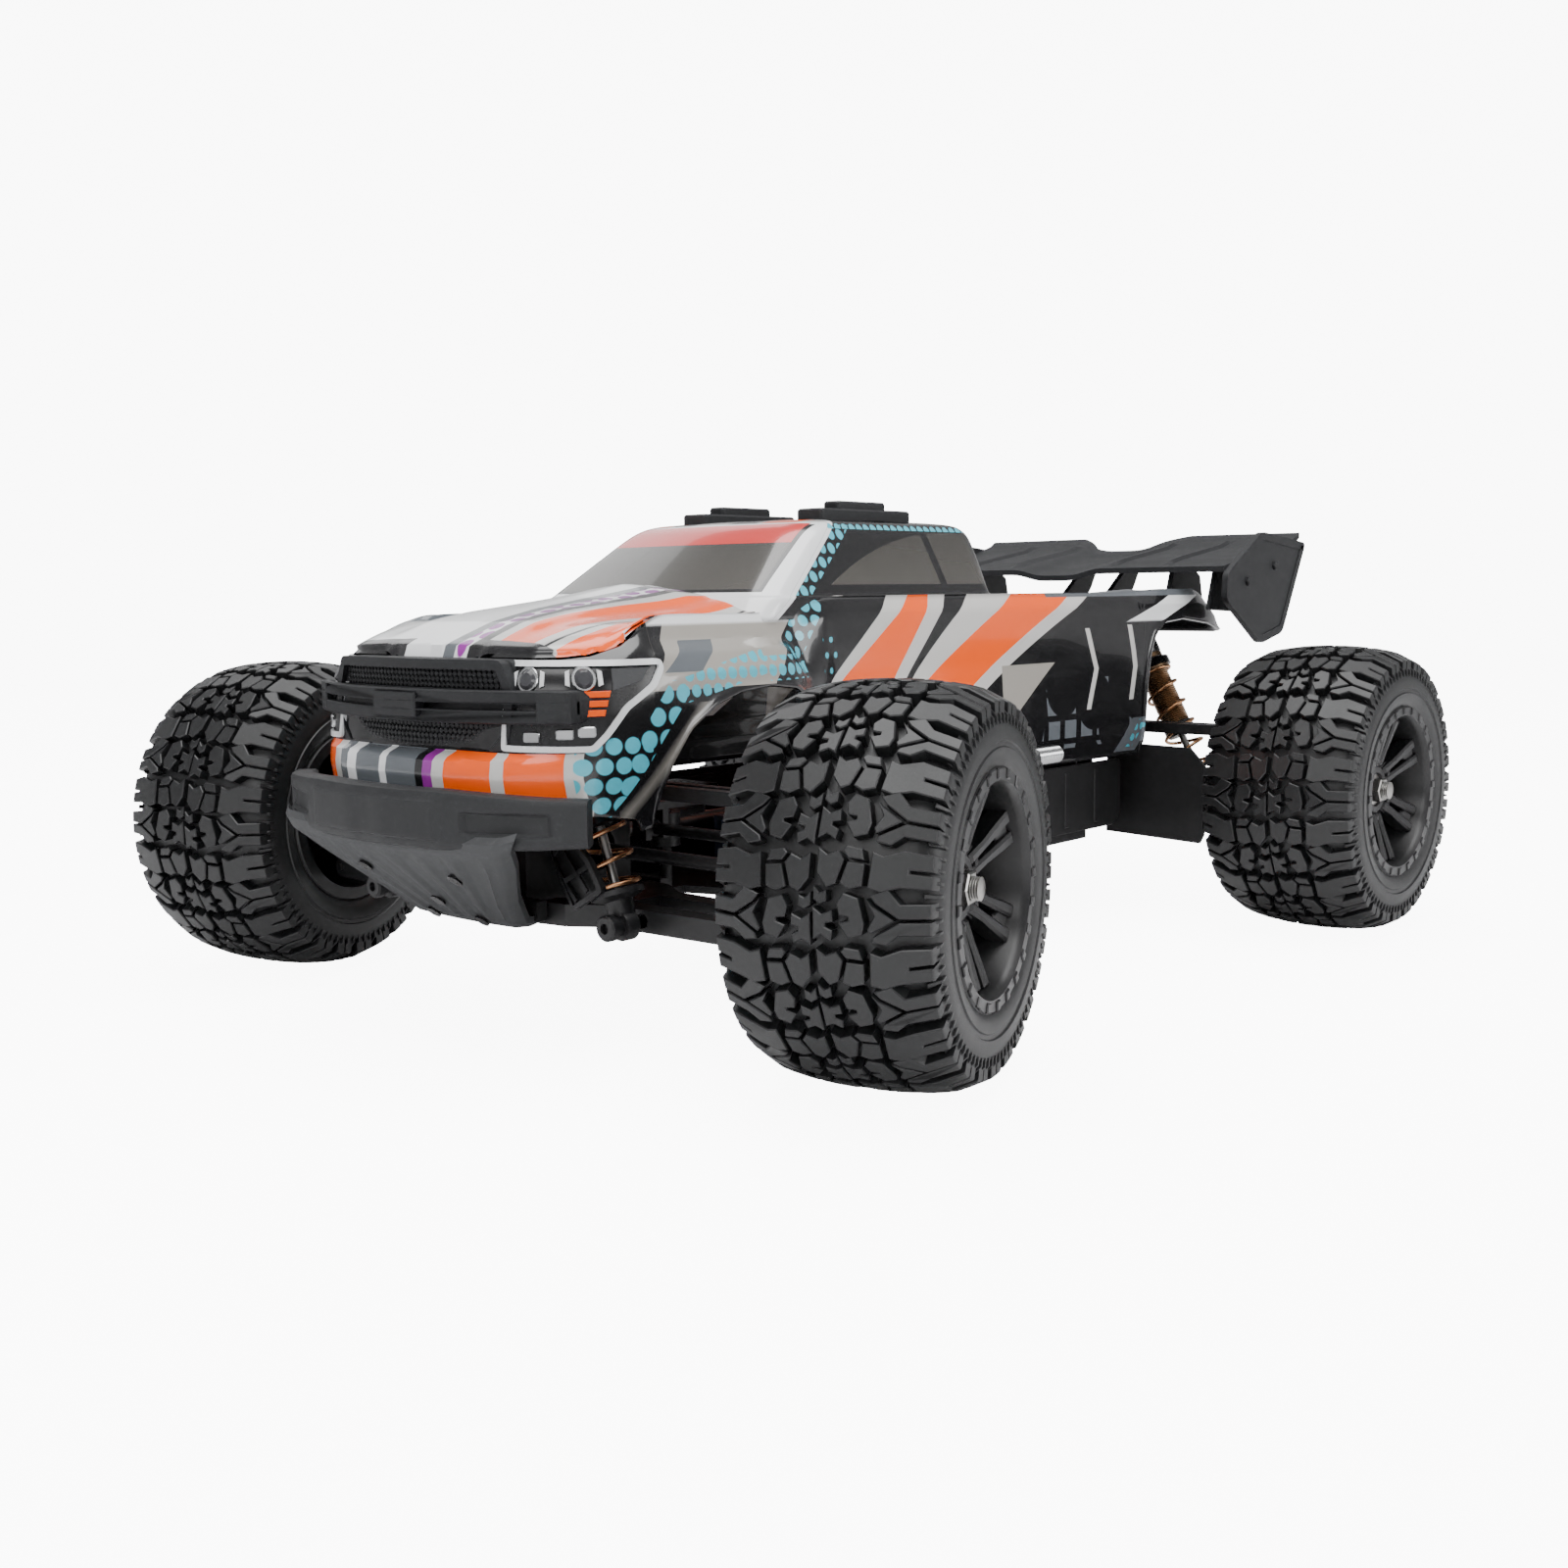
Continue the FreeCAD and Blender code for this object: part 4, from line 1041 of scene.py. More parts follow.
def hood_height(x: Array, y: Array) -> Array:
    """Rise of the deck over a plain surface between its edges.

    In front of the windshield: a raised middle plateau, a crease beside it and a valley inside each fender.
    Behind the cab: a recessed bed.

    Args:
        x: places across.
        y: places along.

    Returns:
        Heights to add.
    """
    ahead = np.clip((-126 - y) / 12, 0, 1) * np.clip((y + 226) / 16, 0, 1)
    plateau = 3.0 * (1 / (1 + np.exp((np.abs(x) - 35) / 1.6)))
    valley = -2.2 * np.exp(-((np.abs(x) - 58) / 7.0) ** 2) * np.clip((y + 196) / 26, 0, 1)
    dome = 1.6 * (1 - (x / 70) ** 2)
    inside = np.clip((y - 30) / 4, 0, 1) * np.clip((206 - y) / 4, 0, 1)
    bed = -5.0 / (1 + np.exp((np.abs(x) - 56) / 1.2)) * inside
    return (plateau + valley) * ahead + dome * np.clip((-20 - y) / 100, 0, 1) + bed


def coons(front: Array, back: Array, inner: Array, outer: Array) -> Array:
    """Surface between four edges: the sum of the two ruled surfaces less the bilinear one.

    Args:
        front: front edge.
        back: rear edge.
        inner: edge at the middle.
        outer: edge at the wall.

    Returns:
        The surface, shape (across, along, 3).
    """
    f = np.linspace(0, 1, front.shape[0])[:, None, None]
    r = np.linspace(0, 1, inner.shape[0])[None, :, None]
    rows = front[:, None] * (1 - r) + back[:, None] * r
    columns = inner[None] * (1 - f) + outer[None] * f
    corners = (front[0] * (1 - f) + front[-1] * f) * (1 - r) + (back[0] * (1 - f) + back[-1] * f) * r
    return rows + columns - corners


CAB_LEVELS = (  # height, half width, front y, rear y, corner round
    (149.0, 66.0, -133.0, 27.0, 9.0), (156.5, 65.4, -126.5, 26.6, 9.0), (158.6, 63.8, -123.6, 26.2, 9.0),
    (166.0, 60.6, -113.5, 26.4, 9.5), (175.0, 56.6, -101.2, 26.8, 10.0), (182.0, 53.4, -91.4, 26.4, 10.5),
    (185.6, 50.8, -85.2, 24.4, 10.5), (187.6, 47.4, -79.0, 20.6, 10.5), (188.6, 40.0, -70.0, 13.0, 9.0))


def cab_ring(level: Sequence[float], corner: int = 7, side: int = 40, front: int = 24) -> Array:
    """Left half of the cab's outline at one height, from the front middle round to the rear middle.

    The front is bowed forward by 7 in the middle, falling off with the square of x. Each corner is a quarter
    circle.

    Args:
        level: a row of CAB_LEVELS.
        corner: points in a corner.
        side: points along the side.
        front: points across half the front.

    Returns:
        The outline, shape (n, 3).
    """
    z, half, nose, tail, radius = level
    across = np.linspace(0, half - radius, front)
    turn = np.linspace(0, math.pi / 2, corner)[1:-1]
    lead = np.column_stack([across, np.full(front, nose)])
    first = np.column_stack([half - radius + radius * np.sin(turn), nose + radius - radius * np.cos(turn)])
    along = np.linspace(nose + radius, tail - radius, side)
    flank = np.column_stack([np.full(side, half), along])
    last = np.column_stack([half - radius + radius * np.cos(turn), tail - radius + radius * np.sin(turn)])
    rear = np.column_stack([across[::-1], np.full(front, tail)])
    ring = np.concatenate([lead, first, flank, last, rear])
    bow = np.where(ring[:, 1] < (nose + tail) / 2, -7.0 * (1 - (ring[:, 0] / half) ** 2), 0.0)
    return np.column_stack([ring[:, 0], ring[:, 1] + bow * np.clip((tail - ring[:, 1]) / 100, 0, 1),
                            np.full(len(ring), z)])


@dataclass
class Shell:
    """Painted shell: wall, deck and cab with its windows, headlights and black trim."""

    form: ShellForm = field(default_factory=ShellForm)

    def columns(self) -> tuple[Array, Array, Array]:
        """Arc lengths of the wall's columns over the front, the side and the rear.

        Returns:
            Arc lengths of the three stretches.
        """
        corner = self.form.u_at_x(77)
        tail = self.form.reach[-1] - 79
        stops = [self.form.u_at_y(y) for y in (-199.5, -198.2, -92.5, -94, 132.4, 133, 134)]
        side = np.unique(np.concatenate([np.linspace(corner, tail, 230), stops]))
        return np.linspace(0, corner, 44), side, np.linspace(tail, self.form.reach[-1], 44)

    def lower(self) -> Shape:
        """Wall and deck of the left half.

        Returns:
            The left half.
        """
        front, side, rear = self.columns()
        u = np.concatenate([front, side[1:-1], rear])
        share = np.linspace(0, 1, 34)[None, :]
        low, high = self.form.hem(u)[:, None], self.form.edge(u)[:, None]
        z = low + (high - low) * share
        lip = 1.3 * np.exp(-(z - low) / 1.6) * (low > 82)
        wall = self.form.wall(np.broadcast_to(u[:, None], z.shape), z, lip)
        wall[(0, -1), :, 0] = 0
        maps = np.stack([np.broadcast_to(u[:, None], z.shape), z], -1) * METRE
        shape = Shape().grid(wall, uv=maps)
        top = wall[:, -1]
        n = len(front)
        lead, outer, back = top[:n], top[n - 1:len(u) - n + 1], top[len(u) - n:][::-1]
        spine = np.zeros((len(outer), 3))
        fraction = (outer[:, 1] - outer[0, 1]) / (outer[-1, 1] - outer[0, 1])
        spine[:, 1] = lead[0, 1] + (back[0, 1] - lead[0, 1]) * fraction
        spine[:, 2] = np.interp(spine[:, 1], (-233, -226, -190, -124, 30, 215, 218.5),
                                (lead[0, 2], 141.5, 149.5, 160.0, 158.5, 147.5, back[0, 2]))
        spine[0], spine[-1] = lead[0], back[0]
        deck = coons(lead, back, spine, outer)
        edge = np.sin(np.linspace(0, math.pi, len(spine)))[None, :] ** 0.2
        inner = 1 - (np.linspace(0, 1, n)[:, None]) ** 6
        deck[..., 2] += hood_height(deck[..., 0], deck[..., 1]) * edge * inner
        shape.paint = 1
        shape.grid(deck, flip=True)
        return shape

    def cab(self) -> Shape:
        """Cab of the left half, closed over the roof.

        Returns:
            The left half.
        """
        levels = catmull(np.array(CAB_LEVELS), 5)
        rings = np.stack([cab_ring(level) for level in levels])
        shape = Shape()
        shape.paint = 2
        shape.grid(rings, flip=True)
        last = rings[-1]
        half = len(last) // 2
        lead, back = last[:half + 1], last[-half - 1:][::-1]
        f = np.linspace(0, 1, 14)[None, :, None]
        roof = lead[:, None] * (1 - f) + back[:, None] * f
        roof[..., 2] += 0.9 * np.sin(math.pi * f[..., 0]) * (1 - (roof[..., 0] / 42) ** 2)
        shape.grid(roof, flip=False)
        return shape

    def build(self, finishes: Finishes) -> None:
        """Make the shell's pieces.

        Args:
            finishes: the truck's materials.
        """
        half = self.lower().join(self.cab())
        whole = half.join(half.mirrored())
        piece = whole.build("shell_look", 30)
        modify(piece, "WELD", merge_threshold=0.00002)
        modify(piece, "SOLIDIFY", thickness=0.0013, offset=-1.0, use_even_offset=False)
        keep(piece, "chassis", "shell_paint", finishes.side, finishes.deck, finishes.cab,
             replaces=["body_shell"])


ORANGE = (1.0, 0.105, 0.0)
SILVER = (0.56, 0.55, 0.53)
SLATE = (0.115, 0.128, 0.142)
BLACK = (0.008, 0.008, 0.009)
WHITE = (0.82, 0.83, 0.84)
CYAN = (0.08, 0.46, 0.58)
MAGENTA = (0.28, 0.02, 0.30)
BEIGE = (0.33, 0.31, 0.28)
RED = (0.62, 0.035, 0.03)


@dataclass
class Livery:
    """Colours of the shell, painted one layer over the other."""

    name: str

    def __post_init__(self) -> None:
        """Start with the shell's coordinates."""
        self.shader = Shader(self.name)
        self.signed, self.y, self.z = self.shader.coordinates()
        self.x = self.signed.math("ABSOLUTE")
        self.colour: Socket | Sequence[float] = BLACK

    def lay(self, mask: Value, colour: Sequence[float]) -> None:
        """Paint a colour where a mask is 1."""
        self.colour = self.shader.mix(mask, self.colour, colour)

    def slash(self, first: Value, low: tuple[float, float], high: tuple[float, float],
              coordinate: Value | None = None) -> Value:
        """Signed distance past a slanted line.

        Args:
            first: the coordinate that the line is measured along.
            low: the line's first point, as (first, second).
            high: its second point.
            coordinate: the second coordinate; the height if left out.

        Returns:
            How far the first coordinate lies past the line.
        """
        second = self.z if coordinate is None else coordinate
        slope = (high[0] - low[0]) / (high[1] - low[1])
        return first - (second - low[1]) * slope - low[0]

    def dots(self, across: Value, up: Value, pitch: float, size: Value | float) -> Value:
        """Half-tone dots on a staggered lattice, whose radius may vary from place to place.

        Args:
            across: first coordinate.
            up: second coordinate.
            pitch: distance between dots.
            size: radius as a share of the pitch.

        Returns:
            The mask.
        """
        row = (up / pitch).math("FLOOR")
        shift = (row * 0.5).math("FRACT")
        u = (across / pitch + shift).math("FRACT") - 0.5
        v = (up / pitch).math("FRACT") - 0.5
        distance = (u * u + v * v).math("SQRT")
        return distance.below(size, 0.06)

    def finish(self, roughness: float = 0.2) -> Material:
        """Close the material with a clear glossy coat over the paint, and make the paint glow faintly in its
        own colour, which is painted light.

        Args:
            roughness: how rough the paint is.

        Returns:
            The material.
        """
        flake = self.shader.noise(2200.0, 2.0)
        ripple = self.shader.noise(26.0, 2.0)
        rough = flake * 0.05 + ripple * 0.05 + (roughness - 0.05)
        return self.shader.finish(Base_Color=self.colour, Roughness=rough, Coat_Weight=0.6,
                                  Coat_Roughness=0.04,
                                  # Painted light: the paint glows faintly in its own colour, though the shell
                                  # is no lamp.
                                  Emission_Color=self.colour, Emission_Strength=0.14,
                                  Normal=self.shader.bump(ripple, 0.12, 0.5))


def side_paint() -> Material:
    """Wall of the shell: chin, corner, fender, door and rear quarter.

    Returns:
        The material.
    """
    paint = Livery("shell_side")
    x, y, z = paint.x, paint.y, paint.z
    paint_fender(paint)
    door = y.above(-112, 0.3)
    silver = (paint.slash(y, (-95, 125.8), (-58, 155.7)).above(0)
              * paint.slash(y, (-46.8, 124), (-17.7, 155.4)).below(0))
    paint.lay(silver * door * z.above(100), SILVER)
    orange = (paint.slash(y, (-87.5, 125.8), (-44, 155.7)).above(0)
              * paint.slash(y, (-55, 124.3), (-29, 155.5)).below(0))
    paint.lay(orange * door * z.above(100), ORANGE)
    lean = y - (z - 118) * (z - 158) * 0.0075
    silver = (paint.slash(lean, (-42.8, 122.5), (-3.7, 154)).above(0)
              * paint.slash(lean, (12.4, 117.8), (102, 159.6)).below(0))
    paint.lay(silver * z.above(101) * y.above(-60), SILVER)
    orange = (paint.slash(lean, (-34, 121), (31, 155.7)).above(0)
              * paint.slash(lean, (-0.2, 118.4), (84, 158.8)).below(0))
    paint.lay(orange * z.above(104) * y.above(-60), ORANGE)
    paint_tail(paint)
    paint_chin(paint)
    behind_grille = y.below(-212, 0.5) * z.between(107, 137.5) * x.below(70)
    paint.lay(behind_grille, BLACK)
    rim = y.below(-212, 0.5) * z.above(137.6, 0.3)
    paint.lay(rim, BLACK)
    paint.lay(rim * x.below(17), SILVER)
    paint.lay(y.above(216), BLACK)
    return paint.finish()


def paint_fender(paint: Livery) -> None:
    """Front fender: warm grey over black with a painted white highlight along its top and a painted beige
    reflection slanting above the arch, angular camouflage and dots round the arch.

    Args:
        paint: the livery to paint on.
    """
    x, y, z = paint.x, paint.y, paint.z
    fender = y.between(-212, -88, 0.3)
    grey = (fender * paint.slash(y, (-140, 126), (-112, 152)).below(0)
            * paint.slash(y, (-204, 118), (-190, 150)).above(0))
    paint.lay(grey * z.above(126.5), BEIGE)
    paint.lay(grey * paint.slash(y, (-196, 138), (-186, 150)).between(-10, 5) * z.between(134, 150), BLACK)
    paint.lay(grey * paint.slash(y, (-178, 136), (-162, 147)).between(-10, 7) * z.between(132.5, 143), SLATE)
    # Painted highlight: white along the top of the fender's grey patch, where the light falls on it.
    paint.lay(grey * z.above(148.5, 1.2), WHITE)
    # Painted reflection: a soft beige band slanting across the black above the arch.
    glow = (paint.slash(y, (-196, 100), (-176, 122)).math("ABSOLUTE") * -0.25).math("ADD", 1.0, clamp=True)
    paint.lay(fender * glow * z.below(122) * 0.55, BEIGE)
    corner = paint.slash(y, (-224, 90), (-196, 126)).between(1.5, 13) * z.below(130) * y.below(-185)
    paint.lay(corner * paint.dots(y, z, 7.6, 0.42), CYAN)
    arch = paint.slash(z, (125.5, -190), (133.5, -150), y).between(-4.6, 4.4) * y.between(-186, -142)
    arch = arch.either(z.between(127.5, 136.5) * y.between(-142, -112))
    paint.lay(arch * paint.dots(y + 2, z + 1, 5.4, 0.40), CYAN)
    door = paint.slash(y, (-128, 134), (-112, 156)).between(2, 15) * z.above(136)
    size = 0.44 - (156 - z) * 0.008
    paint.lay(door * paint.dots(y, z, 5.6, size), CYAN)
    paint.lay(y.between(-101, -92) * z.between(120, 142) * paint.dots(y, z, 6.0, 0.2), CYAN)


def paint_tail(paint: Livery) -> None:
    """Rear quarter: black with faint squares, silver slashes, a slate patch and a painted white highlight on
    top of the rear fender.

    Args:
        paint: the livery to paint on.
    """
    y, z = paint.y, paint.z
    tail = y.above(8, 0.3)
    camo = tail * paint.slash(y, (14, 100), (46, 122)).below(12) * z.between(98, 126) * y.above(22)
    paint.lay(camo, BEIGE)
    steps = paint.shader.cells(52.0)
    squares = ((y / 13).math("FRACT").above(0.3, 0.02) * (z / 11).math("FRACT").above(0.25, 0.02)
               * steps.above(0.72, 0.02))
    paint.lay(squares * y.between(40, 124) * z.between(86, 118), SLATE)
    bend = (z - 122).math("ABSOLUTE")
    paint.lay(tail * (y + bend * 0.34).between(93, 96.4) * z.between(103, 141), SILVER)
    paint.lay(tail * (y + bend * 0.2).between(124, 127.6) * z.between(106, 142), SILVER)
    # Painted highlight: white along the top of the rear fender.
    paint.lay(tail * paint.slash(y, (108, 140), (150, 152)).between(0, 30) * z.above(143.5, 1.0), WHITE)
    paint.lay(y.between(60, 215) * z.above(155.6, 0.4), SLATE)
    paint.lay(paint.slash(y, (112, 82), (126, 99)).between(0, 18) * z.between(81, 97), SLATE)
    foot = paint.slash(y, (118, 82), (130, 97)).between(1, 7) * z.between(83, 96)
    paint.lay(foot * paint.dots(y, z, 5.0, 0.36), CYAN)


def paint_chin(paint: Livery) -> None:
    """Chin under the grille: stripes that differ from side to side.

    Args:
        paint: the livery to paint on.
    """
    x, y, z = paint.signed, paint.y, paint.z
    chin = y.below(-212, 0.5) * z.below(110)
    bands = ((-80, 80, BLACK), (-66, -46, ORANGE), (-46, -40, SILVER), (-40, 9, SLATE), (-34, -27, WHITE),
             (-12, -8, WHITE), (9, 13, BLACK), (13, 18, MAGENTA), (18, 24, SILVER), (24, 44, ORANGE),
             (44, 49, SILVER), (49, 66, ORANGE), (66, 70, SILVER))
    for low, high, colour in bands:
        paint.lay(chin * x.between(low, high), colour)
    patch = x.above(68) * paint.slash(y, (-224, 90), (-196, 126)).below(13) * z.below(112)
    paint.lay(y.below(-200) * patch * paint.dots(y, z, 6.6, 0.43), CYAN)
    paint.lay(y.below(-216) * x.below(-70) * z.below(112) * paint.dots(y, z, 6.6, 0.43), CYAN)


def deck_paint() -> Material:
    """Hood and bed of the shell.

    Returns:
        The material.
    """
    paint = Livery("shell_deck")
    x, y = paint.x, paint.y
    hood = y.below(-60, 0.4)
    run = paint.signed - (y + 226) * 0.06
    bands = ((-90, 90, WHITE), (-90, -62, SLATE), (-62, -52, SILVER), (5, 11, SLATE), (18, 23, BLACK),
             (23, 76, SILVER), (29, 46.5, ORANGE), (51.5, 53, BLACK), (57, 72, ORANGE))
    for low, high, colour in bands:
        paint.lay(hood * run.between(low, high), colour)
    paint.lay(hood * run.between(11, 18) * paint.dots(paint.signed, y, 7, 0.42), MAGENTA)
    paint.lay(hood * paint.slash(y, (-150, -10), (-128, 12), paint.signed).between(0, 5) * x.below(18), SLATE)
    edge = y.above(-202) * x.above(66.5, 0.3) * hood
    paint.lay(edge, WHITE)
    paint.lay(edge * paint.slash(y, (-176, 66), (-166, 80), x).between(0, 12), BLACK)
    paint.lay(edge * y.above(-138), BLACK)
    paint.lay(edge * y.above(-150) * paint.dots(x, y, 5.6, 0.38), CYAN)
    paint.lay(hood * y.below(-224, 0.3) * x.above(18), BLACK)
    paint.lay(y.above(-60, 0.4), SLATE)
    paint.lay(y.above(-60, 0.4) * x.above(62, 0.3), BLACK)
    paint.lay(y.between(-60, 90) * x.above(60, 0.3) * paint.slash(y, (16, 60), (30, 74), x).between(0, 46),
              ORANGE)
    paint.lay(y.above(60) * x.above(62) * paint.slash(y, (84, 60), (96, 78), x).between(0, 10), SILVER)
    return paint.finish(0.24)


def cab_paint() -> Material:
    """Cab: red banner, pillars with dots, smoked windows in black borders.

    Returns:
        The material.
    """
    paint = Livery("shell_cab")
    x, y, z = paint.x, paint.y, paint.z
    paint.lay(z.above(100), BLACK)
    lean = paint.slash(y, (-123.6, 158.6), (-91.4, 182))
    front = lean.below(12.0, 0.3)
    paint.lay(front, WHITE)
    screen = front * z.between(160.6, 178.6) * (x + (z - 158) * 0.36).below(57.5)
    border = front * z.between(159.4, 186) * (x + (z - 158) * 0.36).below(59)
    paint.lay(border, BLACK)
    paint.lay(front * z.between(178.6, 186.5) * (x + (z - 158) * 0.36).below(57.5), RED)
    roof = z.above(187.0, 0.4)
    paint.lay(roof, SILVER)
    paint.lay(roof * x.between(10, 24), BLACK)
    paint.lay(roof * x.between(26, 42), ORANGE)
    side = lean.above(12.0, 0.3) * y.below(25, 0.3)
    paint.lay(side, BLACK)
    paint.lay(side * lean.between(12, 15), WHITE)
    paint.lay(side * z.between(158, 186) * lean.between(15, 24.5) * paint.dots(y, z, 5.6, 0.38), CYAN)
    paint.lay(z.between(184.4, 187.4) * paint.dots(y + x * 0.4, z + 1.6, 4.6, 0.40) * side, CYAN)
    crown = 184.0 - (y - 4) * (y - 4) * 0.0027
    glass = (side * z.above(162.0) * z.below(crown) * paint.slash(y, (-92, 158), (-60, 182)).above(0)
             * paint.slash(y, (22, 158), (16, 184)).below(0) * (z + y * 0.34).above(130.6))
    line = glass * paint.slash(y, (-13, 158), (-16, 184)).between(0, 4.6)
    windows = (glass - line).math("MAXIMUM", 0.0)
    rear = y.above(25, 0.3) * z.between(162, 182) * x.below(44)
    panes = screen.either(windows).either(rear)
    cloud = paint.shader.noise(22.0, 2.0)
    low = (z - 160).math("MAXIMUM", 0.0) * 0.018
    smoke = paint.shader.mix(cloud * 0.3 + low.math("MINIMUM", 0.7), (0.075, 0.070, 0.062),
                             (0.016, 0.015, 0.014))
    paint.colour = paint.shader.mix(panes, paint.colour, smoke)
    return paint.finish(0.2)


@dataclass(frozen=True)
class Finishes:
    """Every material of the truck."""

    rubber: Material
    rim: Material
    steel: Material
    bronze: Material
    copper: Material
    arm: Material
    tray: Material
    bumper: Material
    trim: Material
    skid: Material
    black: Material
    white: Material
    chrome: Material
    amber: Material
    lens: Material
    battery: Material
    side: Material
    deck: Material
    cab: Material


def make_finishes() -> Finishes:
    """Make every material once.

    Returns:
        The materials.
    """
    return Finishes(
        rubber=Rubber("rubber").make(), rim=Plastic("rim_black", (0.011, 0.011, 0.012), 0.34, 0.1,
                                                    gloss=0.6).make(),
        steel=Metal("steel", (0.50, 0.49, 0.47), 0.30).make(),
        bronze=Metal("bronze", (0.34, 0.22, 0.13), 0.34).make(),
        copper=Metal("copper", (0.62, 0.33, 0.17), 0.26).make(),
        arm=Plastic("nylon_black", (0.010, 0.010, 0.011), 0.42, 0.15, gloss=0.5).make(),
        tray=Plastic("tray_black", (0.017, 0.017, 0.018), 0.52, 0.22).make(),
        bumper=Plastic("bumper_grey", (0.027, 0.028, 0.030), 0.56, 0.35).make(),
        trim=Plastic("trim_grey", (0.021, 0.022, 0.024), 0.52, 0.3).make(),
        skid=Plastic("skid_grey", (0.062, 0.064, 0.067), 0.58, 0.35).make(),
        black=Plastic("gloss_black", (0.006, 0.006, 0.007), 0.25, 0.05, gloss=0.5).make(),
        white=Plastic("lamp_white", (0.78, 0.79, 0.80), 0.25, 0.03).make(),
        chrome=Metal("lamp_silver", (0.70, 0.71, 0.72), 0.2).make(),
        amber=Plastic("lamp_amber", ORANGE, 0.25, 0.03).make(),
        lens=Plastic("lamp_lens", (0.06, 0.06, 0.065), 0.12, 0.02).make(),
        battery=Plastic("battery_wrap", (0.03, 0.035, 0.06), 0.35, 0.05).make(),
        side=side_paint(), deck=deck_paint(), cab=cab_paint())


# ---------------- stage
def light(name: str, place: Sequence[float], aim: Sequence[float], size: Sequence[float],
          power: float) -> None:
    """Add a soft rectangular lamp in metres that looks at a point.

    Args:
        name: its name.
        place: where it stands.
        aim: the point it looks at.
        size: width and height.
        power: watts.
    """
    data = bpy.data.lights.new(name, "AREA")
    data.shape = "RECTANGLE"
    data.size, data.size_y = size
    data.energy = power
    lamp = bpy.data.objects.new(name, data)
    lamp.location = place
    lamp.rotation_euler = (Vector(aim) - Vector(place)).to_track_quat("-Z", "Y").to_euler()
    bpy.context.scene.collection.objects.link(lamp)


def studio() -> None:
    """White floor that curves up behind the truck, soft lamps and a pale world."""
    shape = Shape()
    run = np.linspace(-1, 1, 80)
    u, v = np.meshgrid(run, run, indexing="ij")
    reach = np.hypot(u, v) * 5200
    height = np.where(reach > 2800, ((reach - 2800) / 1400) ** 2 * 1100, 0.0) - 0.1
    shape.grid(np.stack([u * 5200, v * 5200, height], -1))
    floor = shape.build("floor", 60)
    shader = Shader("studio_white")
    drift = shader.noise(3.0)
    shade = shader.mix(drift, (0.86, 0.86, 0.87), (0.88, 0.88, 0.89))
    seen = shader.value("ShaderNodeLightPath", output="Is Camera Ray")
    glow = shader.mix(seen, (0.0, 0.0, 0.0), (1.0, 1.0, 1.0))
    floor.data.materials.append(shader.finish(Base_Color=shade, Roughness=0.62, Specular_IOR_Level=0.25,
                                              Emission_Color=glow, Emission_Strength=9.0))
    light("top_soft", (0.1, -0.2, 1.9), (0, 0, 0.1), (1.7, 2.2), 60)
    light("nose_soft", (0.7, -2.2, 1.2), (0, 0, 0.1), (1.6, 0.8), 16)
    light("side_soft", (2.3, 0.5, 0.9), (0, 0, 0.1), (1.6, 0.8), 24)
    light("far_soft", (-1.9, 0.8, 1.4), (0, 0, 0.1), (1.4, 1.0), 6)
    world = bpy.data.worlds.new("studio")
    world.use_nodes = True
    back = world.node_tree.nodes["Background"]
    back.inputs["Color"].default_value = (1, 1, 1, 1)
    back.inputs["Strength"].default_value = 0.35
    bpy.context.scene.world = world


def camera() -> None:
    """Camera low in front of the truck's left corner."""
    yaw, pitch, roll = 2.294, -0.115, -0.011
    forward = Vector((math.cos(pitch) * math.cos(yaw), math.cos(pitch) * math.sin(yaw), math.sin(pitch)))
    right = forward.cross(Vector((0, 0, 1))).normalized()
    up = right.cross(forward)
    turned = right * math.cos(roll) + up * math.sin(roll)
    raised = up * math.cos(roll) - right * math.sin(roll)
    data = bpy.data.cameras.new("camera")
    data.lens, data.sensor_width = 38.32, 36.0
    lens = bpy.data.objects.new("camera", data)
    lens.rotation_mode = "QUATERNION"
    matrix = np.array([turned, raised, -forward]).T
    lens.matrix_world = to_matrix(matrix, (0.483104, -0.592010, 0.159668))
    bpy.context.scene.collection.objects.link(lens)
    bpy.context.scene.camera = lens


def to_matrix(axes: Array, place: Sequence[float]) -> Matrix:
    """Placement from three axes in columns and a point.

    Args:
        axes: shape (3, 3).
        place: the point.

    Returns:
        The placement.
    """
    matrix = Matrix([[float(part) for part in row] for row in axes]).to_4x4()
    matrix.translation = place
    return matrix


# ---------------- front and rear trim
def band(outline: Array, width: float, low: float, high: float, place: Placer, paint: int = 0) -> Shape:
    """Raised rim of a given width just inside a closed anticlockwise outline.

    Args:
        outline: closed outline, shape (n, 2).
        width: the rim's width.
        low: height of its foot.
        high: height of its top.
        place: puts local points in the truck's frame.
        paint: its material slot.

    Returns:
        The rim.
    """
    inner = inset(outline, width)
    rings = ((outline, low), (outline, high), (inner, high), (inner, low))
    points = np.stack([np.column_stack([ring, np.full(len(ring), height)]) for ring, height in rings], 1)
    shape = Shape()
    shape.paint = paint
    return shape.grid(place(points), close_rows=True, close_columns=True, flip=True)


def densify(outline: Array, step: float = 1.5) -> Array:
    """Closed outline with extra points spread evenly along its long sides.

    Args:
        outline: closed outline, shape (n, 2).
        step: least spacing of the points.

    Returns:
        The denser outline.
    """
    outline = np.asarray(outline, float)
    after = np.roll(outline, -1, axis=0)
    counts = np.maximum(1, np.linalg.norm(after - outline, axis=1) // step).astype(int)
    parts = [start + (end - start) * np.arange(count)[:, None] / count
             for start, end, count in zip(outline, after, counts)]
    return np.concatenate(parts)


